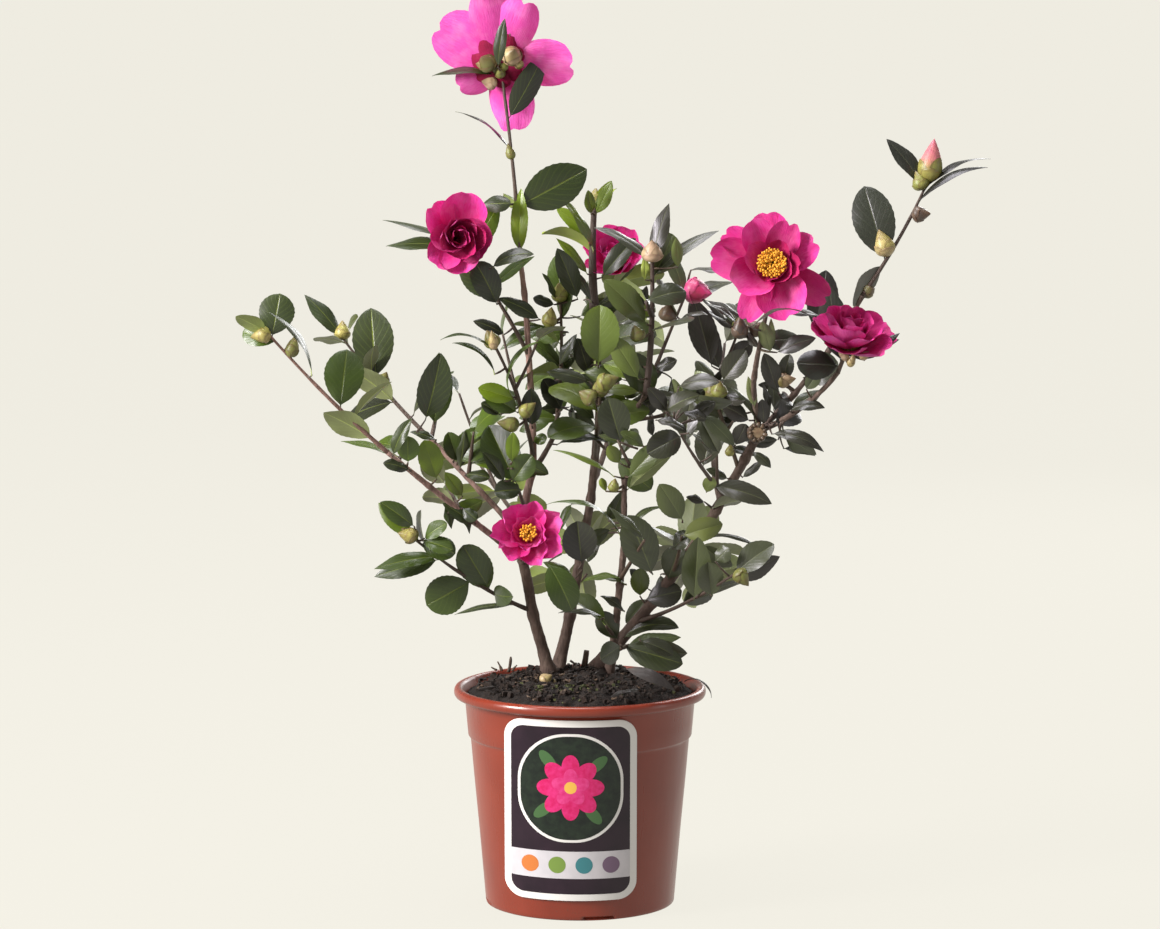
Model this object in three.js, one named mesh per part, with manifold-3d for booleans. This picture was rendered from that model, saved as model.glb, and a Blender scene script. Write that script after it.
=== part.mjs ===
// A camellia shrub in bloom, standing in the round plastic pot it was grown in.
// Millimetres, +Z up. The origin is the middle of the pot's flat underside, and -Y is the front.
import * as THREE from "three";
import { mergeVertices } from "three/addons/utils/BufferGeometryUtils.js";
import Module from "manifold-3d";

const wasm = await Module();
wasm.setup();

// The pot: a slotted foot ring round drain holes, a tapering wall, a collar and a rolled lip
const POT = {
  height: 165,
  wall: 1.8,
  footRadius: 71.4,
  footChamfer: 1.2,
  padRadius: 54,
  channelRadius: 66,
  channelHeight: 3,
  floor: 2,
  stepHeight: 127,
  stepRadius: 82.6,
  stepRise: 1,
  collarRadius: 84.4,
  neckHeight: 156.5,
  neckRadius: 87,
  lipRadius: 95,
  lipUnderside: 1.4,
  lipBelly: 4.4,
  lipShoulder: 1.6,
  lipDrop: 0.8,
  lipFlat: 4,
  sides: 32,
};
const DRAIN = { holes: 8, radius: 4, sides: 8, circle: 60, start: 0.25 };
const SLOT = { count: 4, width: 22, bottom: 0.9, height: 2.7, reach: 4, start: 0.125 };
const SOIL = { edgeHeight: 160, shoulderRadius: 76, shoulderHeight: 166, padRadius: 64, padHeight: 170 };

// The card on the pot's front
const CARD = {
  width: 98,
  height: 138,
  bottom: 16,
  offset: -7,
  corner: 14,
  cornerSteps: 4,
  clearance: 0.5,
  thickness: 0.9,
};

// How limbs, twigs, leaves, buds and blossom are made
const GAP = 0.3;
const GROUND = SOIL.padHeight + GAP;
const LIMB = { stemSides: 8, boughSides: 6, span: 50, flare: 0.42, flareLength: 0.1 };
const TWIG = { sides: 3, span: 38, rootRadius: 2.5, tipRadius: 1.7, sideRadius: 2 };
const LEAF = {
  length: 48,
  width: 0.58,
  thickness: 1.1,
  ridge: 0.34,
  sink: 0.4,
  edgeCurl: 25,
  places: 7,
  nextPlace: 51,
};
const EDGE_OUTLINE = [[0.34, 0.5], [0.72, 0.42], [1, 0]];
const INNER_OUTLINE = [[0.46, 0.5], [1, 0]];
const PETAL_OUTLINE = [[0.26, 0.32], [0.62, 0.5], [0.9, 0.36], [1, 0.14], [0.95, 0]];
const BUD_PROFILE = [[0, 0], [0.95, 0.24], [0.84, 0.62], [0, 1]];
const BUD = { sides: 5, sink: 2 };
const COROLLA = {
  notch: 0.6,
  shoulder: 0.7,
  middle: 0.5,
  fill: 0.46,
  tip: 0.5,
  thickness: 1.4,
  sink: 3,
  rise: 1.5,
  floor: 2.5,
};
const CROWN_AXIS = new THREE.Vector3(0, 30, 0);
const GOLDEN_ANGLE = THREE.MathUtils.degToRad(137.5);

// The rule for leaves: how they are dealt along a twig, how far they open, how they face and how
// big they are
const LEAVES = {
  drawStep: 10,
  first: 0.3,
  last: 0.98,
  crowding: 0.8,
  scatter: 0.35,
  swing: 0.9,
  open: 74,
  close: 40,
  openMore: 22,
  lift: 0.12,
  faceAlong: 0.5,
  faceUp: 0.45,
  faceAway: 0.4,
  roll: 110,
  long: 0.78,
  longMore: 0.36,
  dwindle: 0.22,
  wide: 0.88,
  wideMore: 0.24,
  curl: 18,
  curlMore: 46,
};

// The rule for side twigs: where they fork, which way they go and how far they reach
const SIDE_TWIG = {
  draw: 400,
  drawStep: 10,
  seedStep: 17,
  from: 0.12,
  span: 0.62,
  forward: 0.62,
  outward: 0.78,
  lift: 0.15,
  least: 26,
  reach: 0.42,
  reachMore: 0.22,
  sag: 0.1,
  leaves: 3,
  leavesMore: 2,
  first: 0.42,
  size: 0.94,
};

// Stems: foot on the soil, tip, bow, radius at the foot and at the tip
const STEMS = {
  stem_left: [[-23, 22], [-43, 4, 260], [-3, 0, 0], [5.2, 4.4]],
  stem_middle: [[-17, 42], [13, 50, 345], [6, 6, 0], [4.8, 3.4]],
  stem_thin: [[22, 18], [33, -46, 328], [6, -4, 0], [3.6, 2.2]],
  stem_right: [[11, 44], [134, -12, 360], [14, 0, -10], [5.4, 3.8]],
};

// Boughs: the limb they fork from and the share of its length, tip, bow, radius at root and at tip
const BOUGHS = {
  stem_left_upper: ["stem_left", 1, [-35, 8, 328], [-6, 4, 0], [4.2, 3.4]],
  bough_left_low: ["stem_left", 1, [-142, -50, 348], [6, 0, -6], [3, 2.1]],
  bough_left_high: ["stem_left_upper", 0.25, [-116, 52, 348], [4, 6, -4], [2.8, 2]],
  bough_tall: ["stem_left_upper", 1, [-44, -10, 485], [4, 0, 0], [3.1, 2.3]],
  bough_inner: ["stem_left_upper", 1, [-17, 38, 368], [8, 0, -2], [2.5, 1.9]],
  bough_middle_top: ["stem_middle", 1, [11, 44, 445], [4, 0, 0], [2.9, 2]],
  bough_middle_right: ["stem_middle", 1, [49, -20, 387], [4, 0, -6], [2.6, 2]],
  bough_back: ["stem_middle", 0.8, [31, 120, 369], [0, 20, -10], [2.6, 2]],
  bough_right_top: ["stem_right", 1, [131, -60, 425], [-8, -6, 0], [2.7, 2.1]],
  bough_right_side: ["stem_right", 1, [190, -46, 407], [6, -4, -8], [2.7, 2]],
  bough_right_tall: ["stem_right", 1, [213, 40, 456], [8, 6, -8], [2.7, 2]],
  bough_right_back: ["stem_right", 0.72, [97, 96, 371], [0, 14, -4], [2.5, 1.9]],
};

// Foliage: the limb it grows from and the share of that limb's length, the tip of the leading twig,
// its bow, the number of its leaves, its side twigs, the size of its leaves, and what it ends in
const MASSES = {
  left_low_tip: ["bough_left_low", 1, [-226, -88, 439], [0, 0, -6], 2, 0, 0.8, "bud"],
  left_low_side: ["bough_left_low", 0.93, [-121, -20, 360], [0, 8, 0], 3, 0, 0.75],
  left_low_under: ["bough_left_low", 0.5, [-101, 6, 317], [0, 8, 0], 4, 0, 0.7],
  left_high_tip: ["bough_left_high", 1, [-182, 78, 421], [0, 0, -6], 3, 0, 0.8, "bud"],
  left_high_up: ["bough_left_high", 0.97, [-110, 96, 388], [4, 0, 0], 2, 0, 0.9],
  left_high_in: ["bough_left_high", 0.6, [-80, 20, 356], [0, 0, 0], 6, 0, 1],
  low_left: ["stem_left", 0.55, [-123, -44, 283], [0, 0, -10], 2, 0, 0.8, "bud"],
  low_bloom: ["stem_left", 0.96, [-38, -26, 279], [0, 0, -3], 1, 0, 0.8, "cup"],
  inner_left: ["stem_left_upper", 0.55, [-53, -50, 346], [0, -6, 0], 6, 1, 1],
  top_bloom: ["bough_tall", 1, [-59, 2, 631], [3, 0, 0], 1, 0, 0.8, "back"],
  rose_bloom: ["bough_tall", 0.55, [-92, -34, 504], [6, 0, 0], 2, 0, 0.8, "wrapped"],
  inner_buds: ["bough_tall", 0.06, [-63, -46, 427], [8, -8, 0], 7, 2, 0.9, "bud"],
  inner_top: ["bough_inner", 1, [-15, 20, 455], [4, 0, 0], 6, 1, 0.95, "bud"],
  middle_top: ["bough_middle_top", 1, [11, 50, 524], [-3, 0, 0], 4, 0, 0.85, "bud"],
  half_bloom: ["bough_middle_top", 0.9, [31, 84, 471], [0, 6, 0], 4, 0, 0.95, "half"],
  middle_front: ["bough_middle_top", 0.5, [16, -20, 430], [0, -8, 0], 6, 1, 1.05],
  centre_top: ["bough_middle_right", 1, [53, -34, 490], [4, 0, 0], 6, 1, 0.9, "bud"],
  pink_bud: ["bough_middle_right", 0.9, [81, 26, 462], [0, 8, 0], 5, 0, 0.9, "pink"],
  centre_front: ["stem_middle", 0.92, [15, -34, 391], [0, -8, 0], 7, 1, 1, "bud"],
  centre_right: ["bough_middle_right", 0.5, [84, 20, 370], [0, 6, 0], 7, 1, 0.95],
  thin_top: ["stem_thin", 1, [47, -66, 363], [0, 0, 0], 7, 1, 0.95],
  thin_side: ["stem_thin", 0.5, [47, -96, 289], [0, 0, 0], 4, 0, 0.95],
  thin_left: ["stem_thin", 0.42, [-15, -60, 275], [0, 0, -4], 6, 1, 1],
  thin_low: ["stem_thin", 0.2, [4, -76, 243], [0, 0, 0], 4, 0, 0.9],
  right_low: ["stem_right", 0.22, [116, -64, 261], [0, 0, -8], 7, 0, 1, "bud"],
  right_under: ["stem_thin", 0.12, [68, -40, 223], [0, 0, -4], 5, 1, 0.95],
  right_inner: ["stem_right", 0.42, [75, -56, 307], [6, 0, 0], 4, 0, 0.85],
  right_middle: ["stem_right", 0.6, [124, -50, 315], [0, 0, 4], 5, 0, 0.95],
  right_upper: ["stem_right", 0.85, [100, -20, 386], [0, 0, 0], 6, 1, 0.95, "bud"],
  right_dark: ["bough_right_back", 1, [122, 96, 425], [4, 0, 0], 3, 1, 0.9, "bud"],
  big_bloom: ["bough_right_top", 1, [142, -70, 483], [0, 0, 0], 4, 1, 0.95, "open"],
  second_bloom: ["bough_right_side", 1, [197, -58, 428], [0, 0, 0], 4, 0, 0.95, "side"],
  right_tall: ["bough_right_tall", 1, [265, 70, 542], [4, 0, -4], 0, 0, 1, "pointed"],
  right_side: ["stem_right", 1, [166, -60, 371], [0, 0, 6], 6, 0, 1],
  back_left: ["stem_left_upper", 0.4, [-87, 150, 329], [0, 14, -10], 7, 2, 1],
  back_centre: ["bough_back", 1, [24, 166, 419], [0, 10, 0], 9, 2, 1],
  back_low: ["stem_middle", 0.5, [4, 140, 252], [0, 10, -8], 8, 1, 1],
  back_right: ["stem_right", 0.5, [86, 120, 255], [0, 10, -6], 8, 1, 1],
  front_right: ["stem_right", 0.75, [66, -130, 381], [0, -10, -6], 8, 1, 1],
};

// Leaves at the crown's edge that stand alone: share of the twig's length, compass angle from +X,
// rise above level, length, width, and turn about the midrib away from facing the front.
const EDGE_LEAVES = {
  left_low_tip: [
    [1, -160, 35, 30, 14, 160],
    [0.97, -35, 77, 33, 26, 0],
    [0.66, -165, 58, 56, 18, 70],
    [0.4, 55, 80, 46, 29, 0],
    [0.12, -165, 36, 46, 23, 160],
  ],
  left_low_side: [[0.11, 180, 27, 46, 14, 75]],
  left_high_tip: [
    [1, 180, 54, 51, 16, 40],
    [0.95, -160, 22, 28, 17, 120],
    [0.6, 130, 82, 58, 32, 0],
    [0.38, -155, 46, 44, 21, 160],
  ],
  left_high_up: [[0.2, -25, 82, 58, 24, 15]],
  low_left: [
    [1, 180, 46, 38, 17, 10],
    [0.95, -20, -6, 28, 20, -40],
    [0.78, -172, -9, 52, 17, 30],
    [0.52, -160, -38, 39, 29, 0],
    [0.36, 168, 58, 39, 24, 0],
    [0.14, 170, -7, 50, 17, 75],
  ],
  top_bloom: [
    [1, -86, 68, 41, 13, -50],
    [0.95, 180, 4, 52, 15, 70],
    [0.78, -38, 49, 56, 17, 20],
    [0.6, 174, 40, 50, 14, 75],
    [0.28, 0, 28, 61, 32, 0],
    [0.04, -114, 82, 50, 14, -40],
  ],
  rose_bloom: [
    [0.86, 28, 55, 50, 17, 0],
    [0.97, 168, 28, 60, 14, 80],
    [0.93, 176, 10, 58, 15, 50],
    [0.49, -166, 45, 40, 20, 10],
    [0.58, -4, 47, 41, 17, -60],
  ],
  inner_top: [[0.97, 110, 80, 39, 17, 0], [0.8, -75, 78, 43, 17, -50]],
  middle_top: [[0.9, -16, 60, 30, 13, 10], [0.66, -160, 49, 38, 15, 40], [0.4, 180, 40, 36, 15, 55]],
  half_bloom: [[0.7, -29, 60, 43, 18, 20], [0.66, -20, -28, 38, 21, 10]],
  centre_top: [[0.97, -3, 80, 46, 14, -30], [0.92, 180, 41, 51, 15, 65], [0.8, 0, 45, 60, 15, -60]],
  pink_bud: [[0.94, 145, 72, 48, 14, 30], [0.92, 13, 28, 41, 17, -60]],
  right_dark: [[0.4, -160, 66, 60, 21, 10], [0.55, 0, 34, 26, 15, 10], [1, -165, 41, 32, 14, 60]],
  big_bloom: [[0.48, 0, 8, 39, 15, -75], [0.1, 0, 8, 31, 17, -30]],
  second_bloom: [[0.28, 124, 75, 66, 23, 0], [0.54, 0, 25, 44, 15, -40], [0.2, -160, 9, 33, 23, 20]],
  right_tall: [
    [0.32, 165, 74, 61, 32, 0],
    [0.3, -164, -44, 43, 15, 150],
    [0.92, 180, 58, 49, 15, 30],
    [0.8, 0, 33, 60, 15, -75],
    [0.7, -10, 37, 61, 15, -80],
  ],
  right_low: [[0.9, -6, 18, 43, 18, 20], [0.44, 10, 29, 66, 15, -75]],
  right_inner: [[0.9, -160, 54, 30, 18, 20]],
  right_middle: [[0.7, -12, 3, 36, 20, -25]],
  thin_side: [[1, 180, 53, 36, 24, 0]],
  right_under: [[0.28, -14, -12, 45, 20, 20], [0.2, -3, 20, 44, 17, -60]],
  right_side: [[0.7, 0, -30, 42, 21, -30]],
};

// Buds that stand on the side of a twig: share of its length, compass angle, rise, length, radius
const SIDE_BUDS = {
  left_low_tip: [[0.82, 20, 75, 17, 5]],
  left_high_tip: [[0.55, -40, 60, 13, 5]],
  top_bloom: [[0.93, 160, 70, 13, 4], [0.52, 170, 75, 13, 3.5]],
  right_tall: [
    [0.4, 150, 70, 23, 8],
    [0.84, 170, 60, 15, 6.5],
    [0.72, -20, -30, 14, 7],
    [0.02, 40, 20, 13, 6],
  ],
  big_bloom: [[0.2, 175, 40, 14, 6]],
  centre_right: [[0.6, -20, 20, 15, 8]],
};

// What ends a twig. A bloom faces a compass angle and a rise, and has rows of petals: number, length,
// width, angle from the bloom's axis, and curl. The wide open bloom at the top has loose petals instead,
// with gaps between them: angle round the bloom from its right, length, and width. A bud has a length,
// a radius and at times a lean.
const ENDS = {
  bud: { bud: [15, 6.2] },
  pink: { bud: [22, 9], lean: [-20, 10] },
  pointed: { bud: [33, 9.5], lean: [80, 80] },
  back: {
    facing: [78, 18],
    calyx: [13, 8],
    open: 80,
    petals: [
      [149, 57, 44],
      [97, 56, 34],
      [66, 56, 31],
      [-1, 58, 38],
      [-80, 54, 36],
      [-152, 39, 26],
    ],
  },
  wrapped: { facing: [-82, 12], rows: [[5, 38, 34, 62, -42], [3, 28, 24, 26, -20]] },
  cup: { facing: [-88, 14], rows: [[6, 29, 24, 62, -30]] },
  open: { facing: [-94, 16], rows: [[8, 43, 30, 78, -20], [5, 32, 24, 50, -24]] },
  side: { facing: [-60, 62], rows: [[7, 39, 30, 66, -16], [4, 30, 22, 34, -20]] },
  half: { facing: [-70, 50], rows: [[5, 32, 24, 38, -34]] },
};

const COLOURS = {
  pot: [0xb35233, 0.35],
  soil: [0x33241e, 0.95],
  card: [0x4a2236, 0.4],
  bark: [0x54403a, 0.85],
  foliage: [0x40643a, 0.4],
};

const UP = new THREE.Vector3(0, 0, 1);
const vector = (list) => new THREE.Vector3(...list);
const radians = THREE.MathUtils.degToRad;

// Turns a closed geometry into a solid that can be joined and cut
function solid(geometry) {
  geometry.deleteAttribute("normal");
  geometry.deleteAttribute("uv");
  const merged = mergeVertices(geometry, 1e-4);
  const faces = [];
  for (let i = 0; i < merged.index.count; i += 3) {
    const [a, b, c] = [0, 1, 2].map((k) => merged.index.getX(i + k));
    if (a !== b && b !== c && c !== a) {
      faces.push(a, b, c);
    }
  }
  return new wasm.Manifold(new wasm.Mesh({
    numProp: 3,
    vertProperties: new Float32Array(merged.attributes.position.array),
    triVerts: new Uint32Array(faces),
  }));
}

function faceted(points, faces) {
  const geometry = new THREE.BufferGeometry();
  const numbers = points.flatMap((point) => [point.x, point.y, point.z]);
  geometry.setAttribute("position", new THREE.Float32BufferAttribute(numbers, 3));
  geometry.setIndex(faces.flat());
  return solid(geometry);
}

function largest(shape) {
  return shape.decompose().reduce((best, piece) => (piece.volume() > best.volume() ? piece : best));
}

function mesh(name, shape, [colour, roughness]) {
  const { vertProperties, triVerts } = shape.getMesh();
  const geometry = new THREE.BufferGeometry();
  geometry.setAttribute("position", new THREE.BufferAttribute(vertProperties, 3));
  geometry.setIndex(new THREE.BufferAttribute(triVerts, 1));
  geometry.computeVertexNormals();
  const material = new THREE.MeshStandardMaterial({ color: colour, roughness, metalness: 0 });
  const result = new THREE.Mesh(geometry, material);
  result.name = name;
  return result;
}

// Turns a profile of [radius, height] about the upright axis
function turned(profile, sides) {
  const points = profile.map(([radius, height]) => new THREE.Vector2(radius, height));
  return solid(new THREE.LatheGeometry(points, sides).rotateX(Math.PI / 2));
}

// A number from 0 to 1 drawn from a seed and a step
function random(seed, step) {
  const value = Math.sin(seed * 12.9898 + step * 78.233) * 43758.5453;
  return value - Math.floor(value);
}

function draws(seed, first, count) {
  return Array.from({ length: count }, (_, k) => random(seed, first + k));
}

function direction(azimuth, rise) {
  const [turn, lift] = [radians(azimuth), radians(rise)];
  return vector([Math.cos(lift) * Math.cos(turn), Math.cos(lift) * Math.sin(turn), Math.sin(lift)]);
}

function path(start, tip, bow) {
  const middle = start.clone().add(tip).multiplyScalar(0.5).add(bow);
  return new THREE.QuadraticBezierCurve3(start, middle, tip);
}

// A direction square to another, turned about it by spin
function sideways(along, spin) {
  const reference = Math.abs(along.z) < 0.9 ? UP : vector([1, 0, 0]);
  const across = along.clone().cross(reference).normalize();
  const other = along.clone().cross(across);
  return across.multiplyScalar(Math.cos(spin)).addScaledVector(other, Math.sin(spin));
}

function squareTo(face, along) {
  return face.clone().addScaledVector(along, -face.dot(along)).normalize();
}

// A tapering tube round a path. margin widens it and lengthens it at both ends, and foot cuts it level.
function tube(route, sides, span, radiusAt, margin = 0, foot = null) {
  const steps = Math.max(1, Math.round(route.getLength() / span));
  const geometry = new THREE.CylinderGeometry(1, 1, 1, sides, steps);
  const fixed = sideways(route.v2.clone().sub(route.v0).normalize(), 0);
  const corners = geometry.attributes.position;
  for (let i = 0; i < corners.count; i += 1) {
    const share = Math.round((corners.getY(i) + 0.5) * steps) / steps;
    const along = route.getTangent(share);
    const across = squareTo(fixed, along);
    const other = along.clone().cross(across);
    const radius = radiusAt(share) + margin;
    const point = route.getPoint(share);
    point.addScaledVector(other, corners.getX(i) * radius);
    point.addScaledVector(across, corners.getZ(i) * radius);
    if (share === 0) {
      point.addScaledVector(along, -margin);
    }
    if (share === 1) {
      point.addScaledVector(along, margin);
    }
    if (share === 0 && foot !== null) {
      point.z = foot - margin;
    }
    corners.setXYZ(i, point.x, point.y, point.z);
  }
  return solid(geometry);
}

// A leaf: a pointed root sunk past its twig's middle, an outline of [share of length, share of width],
// and a ridge and a keel. It bends back from its face by curl.
function leaf({ root, along, face, length, width, curl }, outline) {
  const across = face.clone().cross(along);
  const at = (share, side, height) => {
    const turn = curl * share;
    const point = root.clone();
    point.addScaledVector(along, (length * Math.sin(turn)) / curl + height * Math.sin(turn));
    point.addScaledVector(face, (-length * (1 - Math.cos(turn))) / curl + height * Math.cos(turn));
    return point.addScaledVector(across, side);
  };
  const right = [at(-LEAF.sink / length, 0, 0)];
  const left = [];
  for (const [share, part] of outline) {
    right.push(at(share, -part * width, 0));
    if (part > 0) {
      left.unshift(at(share, part * width, 0));
    }
  }
  const ring = [...right, ...left];
  const [ridge, keel] = [ring.length, ring.length + 1];
  const half = LEAF.thickness / 2;
  const points = [...ring, at(LEAF.ridge, 0, half), at(LEAF.ridge, 0, -half)];
  const faces = ring.flatMap((_, i) => {
    const next = (i + 1) % ring.length;
    return [[ridge, i, next], [keel, next, i]];
  });
  return faceted(points, faces);
}

function bud(root, along, length, radius) {
  const points = BUD_PROFILE.map(([share, height]) => new THREE.Vector2(share * radius, height * length));
  const geometry = new THREE.LatheGeometry(points, BUD.sides);
  geometry.applyQuaternion(new THREE.Quaternion().setFromUnitVectors(vector([0, 1, 0]), along));
  geometry.translate(root.x, root.y, root.z);
  return solid(geometry);
}

// Leaves set along a twig by the golden angle, opening less towards its tip
function leavesAlong(route, count, seed, first, size) {
  const rule = LEAVES;
  const frames = [];
  const phase = 2 * Math.PI * random(seed, 1);
  for (let i = 0; i < count; i += 1) {
    const [r0, r1, r2, r3, r4, r5, , r7] = draws(seed, rule.drawStep * i + 2, 8);
    const order = THREE.MathUtils.clamp((i + rule.scatter * (r0 - 0.5)) / Math.max(count - 1, 1), 0, 1);
    const share = first + (rule.last - first) * order ** rule.crowding;
    const twig = route.getTangent(share);
    const outward = sideways(twig, phase + i * GOLDEN_ANGLE + rule.swing * (r1 - 0.5));
    const open = radians(rule.open - rule.close * order + rule.openMore * (r2 - 0.5));
    const along = twig.clone().multiplyScalar(Math.cos(open)).addScaledVector(outward, Math.sin(open));
    along.addScaledVector(UP, rule.lift).normalize();
    const root = route.getPoint(share);
    const away = root.clone().sub(CROWN_AXIS).setZ(0).normalize();
    const up = twig.clone().multiplyScalar(rule.faceAlong).addScaledVector(UP, rule.faceUp);
    const face = squareTo(up.addScaledVector(away, rule.faceAway), along);
    face.applyAxisAngle(along, radians(rule.roll) * (r3 - 0.5));
    const length = size * LEAF.length * (rule.long + rule.longMore * r4) * (1 - rule.dwindle * order);
    const width = length * LEAF.width * (rule.wide + rule.wideMore * r5);
    const curl = radians(rule.curl + rule.curlMore * r7);
    frames.push({ root, twig, along, face, length, width, curl });
  }
  return frames;
}

function edgeLeaf(route, [share, azimuth, rise, length, width, turn]) {
  const along = direction(azimuth, rise);
  const face = squareTo(vector([0, -1, 0]), along).applyAxisAngle(along, radians(turn));
  return { root: route.getPoint(share), along, face, length, width, curl: radians(LEAF.edgeCurl) };
}

// The leading twig and its side twigs, with the frames of their leaves
function grow(route, leaves, twigs, size, seed) {
  const rule = SIDE_TWIG;
  const radii = [TWIG.rootRadius, TWIG.tipRadius];
  const shoots = [{ route, radii, frames: leavesAlong(route, leaves, seed, LEAVES.first, size) }];
  const reachAll = route.v0.distanceTo(route.v2);
  for (let j = 0; j < twigs; j += 1) {
    const [r0, r1, r2, r3] = draws(seed, rule.draw + rule.drawStep * j, 4);
    const share = rule.from + (rule.span * (j + r0)) / twigs;
    const twig = route.getTangent(share);
    const outward = sideways(twig, 2 * Math.PI * r1 + j * GOLDEN_ANGLE);
    const along = twig.clone().multiplyScalar(rule.forward).addScaledVector(outward, rule.outward);
    along.addScaledVector(UP, rule.lift).normalize();
    const reach = Math.max(rule.least, reachAll * (rule.reach + rule.reachMore * r2));
    const start = route.getPoint(share);
    const tip = start.clone().addScaledVector(along, reach);
    const side = path(start, tip, vector([0, 0, -rule.sag * reach]));
    const count = rule.leaves + Math.floor(rule.leavesMore * r3);
    const frames = leavesAlong(side, count, seed + rule.seedStep * (j + 1), rule.first, size * rule.size);
    shoots.push({ route: side, radii: [TWIG.sideRadius, TWIG.tipRadius], frames });
  }
  return shoots;
}

// One row of petals as a lobed cup of one piece: between two petals it has a notch, and each petal
// has two shoulders, two tip corners, and a ridge and a keel
function corolla(centre, axis, [count, length, width, openAngle, curlAngle], spin) {
  const c = COROLLA;
  const [open, curl] = [radians(openAngle), radians(curlAngle)];
  const step = (2 * Math.PI) / count;
  const across = sideways(axis, 0);
  const at = (share, angle, height = 0) => {
    const lean = open + curl * share;
    const radius = (length * (Math.cos(open) - Math.cos(lean))) / curl - height * Math.cos(lean);
    const rise = (length * (Math.sin(lean) - Math.sin(open))) / curl + height * Math.sin(lean);
    const outward = across.clone().applyAxisAngle(axis, angle);
    return centre.clone().addScaledVector(outward, radius).addScaledVector(axis, rise);
  };
  const reach = (length * (Math.cos(open) - Math.cos(open + curl * c.shoulder))) / curl;
  const half = Math.min(c.fill * step, width / 2 / reach);
  const points = [];
  const faces = [];
  const [top, bottom] = [7 * count, 7 * count + 1];
  for (let i = 0; i < count; i += 1) {
    const angle = spin + i * step;
    points.push(
      at(c.notch, angle - step / 2),
      at(c.shoulder, angle - half),
      at(1, angle - c.tip * half),
      at(1, angle + c.tip * half),
      at(c.shoulder, angle + half),
      at(c.middle, angle, c.thickness / 2),
      at(c.middle, angle, -c.thickness / 2),
    );
    const next = 7 * ((i + 1) % count);
    const edge = [0, 1, 2, 3, 4].map((k) => 7 * i + k).concat(next);
    const [ridge, keel] = [7 * i + 5, 7 * i + 6];
    for (let k = 0; k < 5; k += 1) {
      faces.push([ridge, edge[k], edge[k + 1]], [keel, edge[k + 1], edge[k]]);
    }
    faces.push([top, 7 * i, ridge], [top, ridge, next], [bottom, keel, 7 * i], [bottom, next, keel]);
  }
  points.push(centre.clone().addScaledVector(axis, c.rise), centre.clone().addScaledVector(axis, -c.floor));
  return faceted(points, faces);
}

// Rows of petals, each a little further up the bloom's axis and turned by half a petal
function bloom(centre, { facing, rows }) {
  const axis = direction(...facing);
  const cups = rows.map((petals, row) => {
    const middle = centre.clone().addScaledVector(axis, COROLLA.rise * row - COROLLA.sink);
    return corolla(middle, axis, petals, (Math.PI * row) / petals[0]);
  });
  return cups.reduce((whole, cup) => whole.add(cup));
}

// A bloom of loose petals on a round calyx
function looseBloom(centre, { facing, calyx, open, petals }) {
  const axis = direction(...facing);
  const right = UP.clone().cross(axis).negate().normalize();
  let shape = bud(centre.clone().addScaledVector(axis, -BUD.sink), axis, ...calyx);
  for (const [angle, length, width] of petals) {
    const outward = right.clone().applyAxisAngle(axis, -radians(angle));
    const along = axis.clone().multiplyScalar(Math.cos(radians(open)));
    along.addScaledVector(outward, Math.sin(radians(open)));
    const face = squareTo(axis, along);
    const petal = { root: centre, along, face, length, width, curl: radians(LEAF.edgeCurl) };
    shape = shape.add(leaf(petal, PETAL_OUTLINE));
  }
  return shape;
}

function twigEnd(route, end) {
  if (end.rows) {
    return bloom(route.v2, end);
  }
  if (end.petals) {
    return looseBloom(route.v2, end);
  }
  const lean = end.lean ? direction(...end.lean) : route.getTangent(1);
  return bud(route.v2.clone().addScaledVector(lean, -BUD.sink), lean, ...end.bud);
}

// Pieces already set in place, to keep each mass clear of the limbs and of the other masses.
// A limb or leading twig also has a wider form that later pieces are cut back by.
const placed = [];

function place(owner, shape, wide = null) {
  placed.push({ owner, shape, wide, box: shape.boundingBox() });
}

function near(first, second, reach) {
  const meets = (k) => first.min[k] < second.max[k] + reach && second.min[k] < first.max[k] + reach;
  return meets(0) && meets(1) && meets(2);
}

function isClear(owner, shape) {
  const box = shape.boundingBox();
  const others = placed.filter((other) => other.owner !== owner && near(box, other.box, GAP));
  return others.every((other) => shape.minGap(other.shape, 2 * GAP) > GAP);
}

function carve(owner, shape) {
  const box = shape.boundingBox();
  let result = shape;
  for (const other of placed) {
    if (other.owner !== owner && other.wide && near(box, other.box, 2 * GAP)) {
      result = result.subtract(other.wide);
    }
  }
  return largest(result);
}

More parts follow.
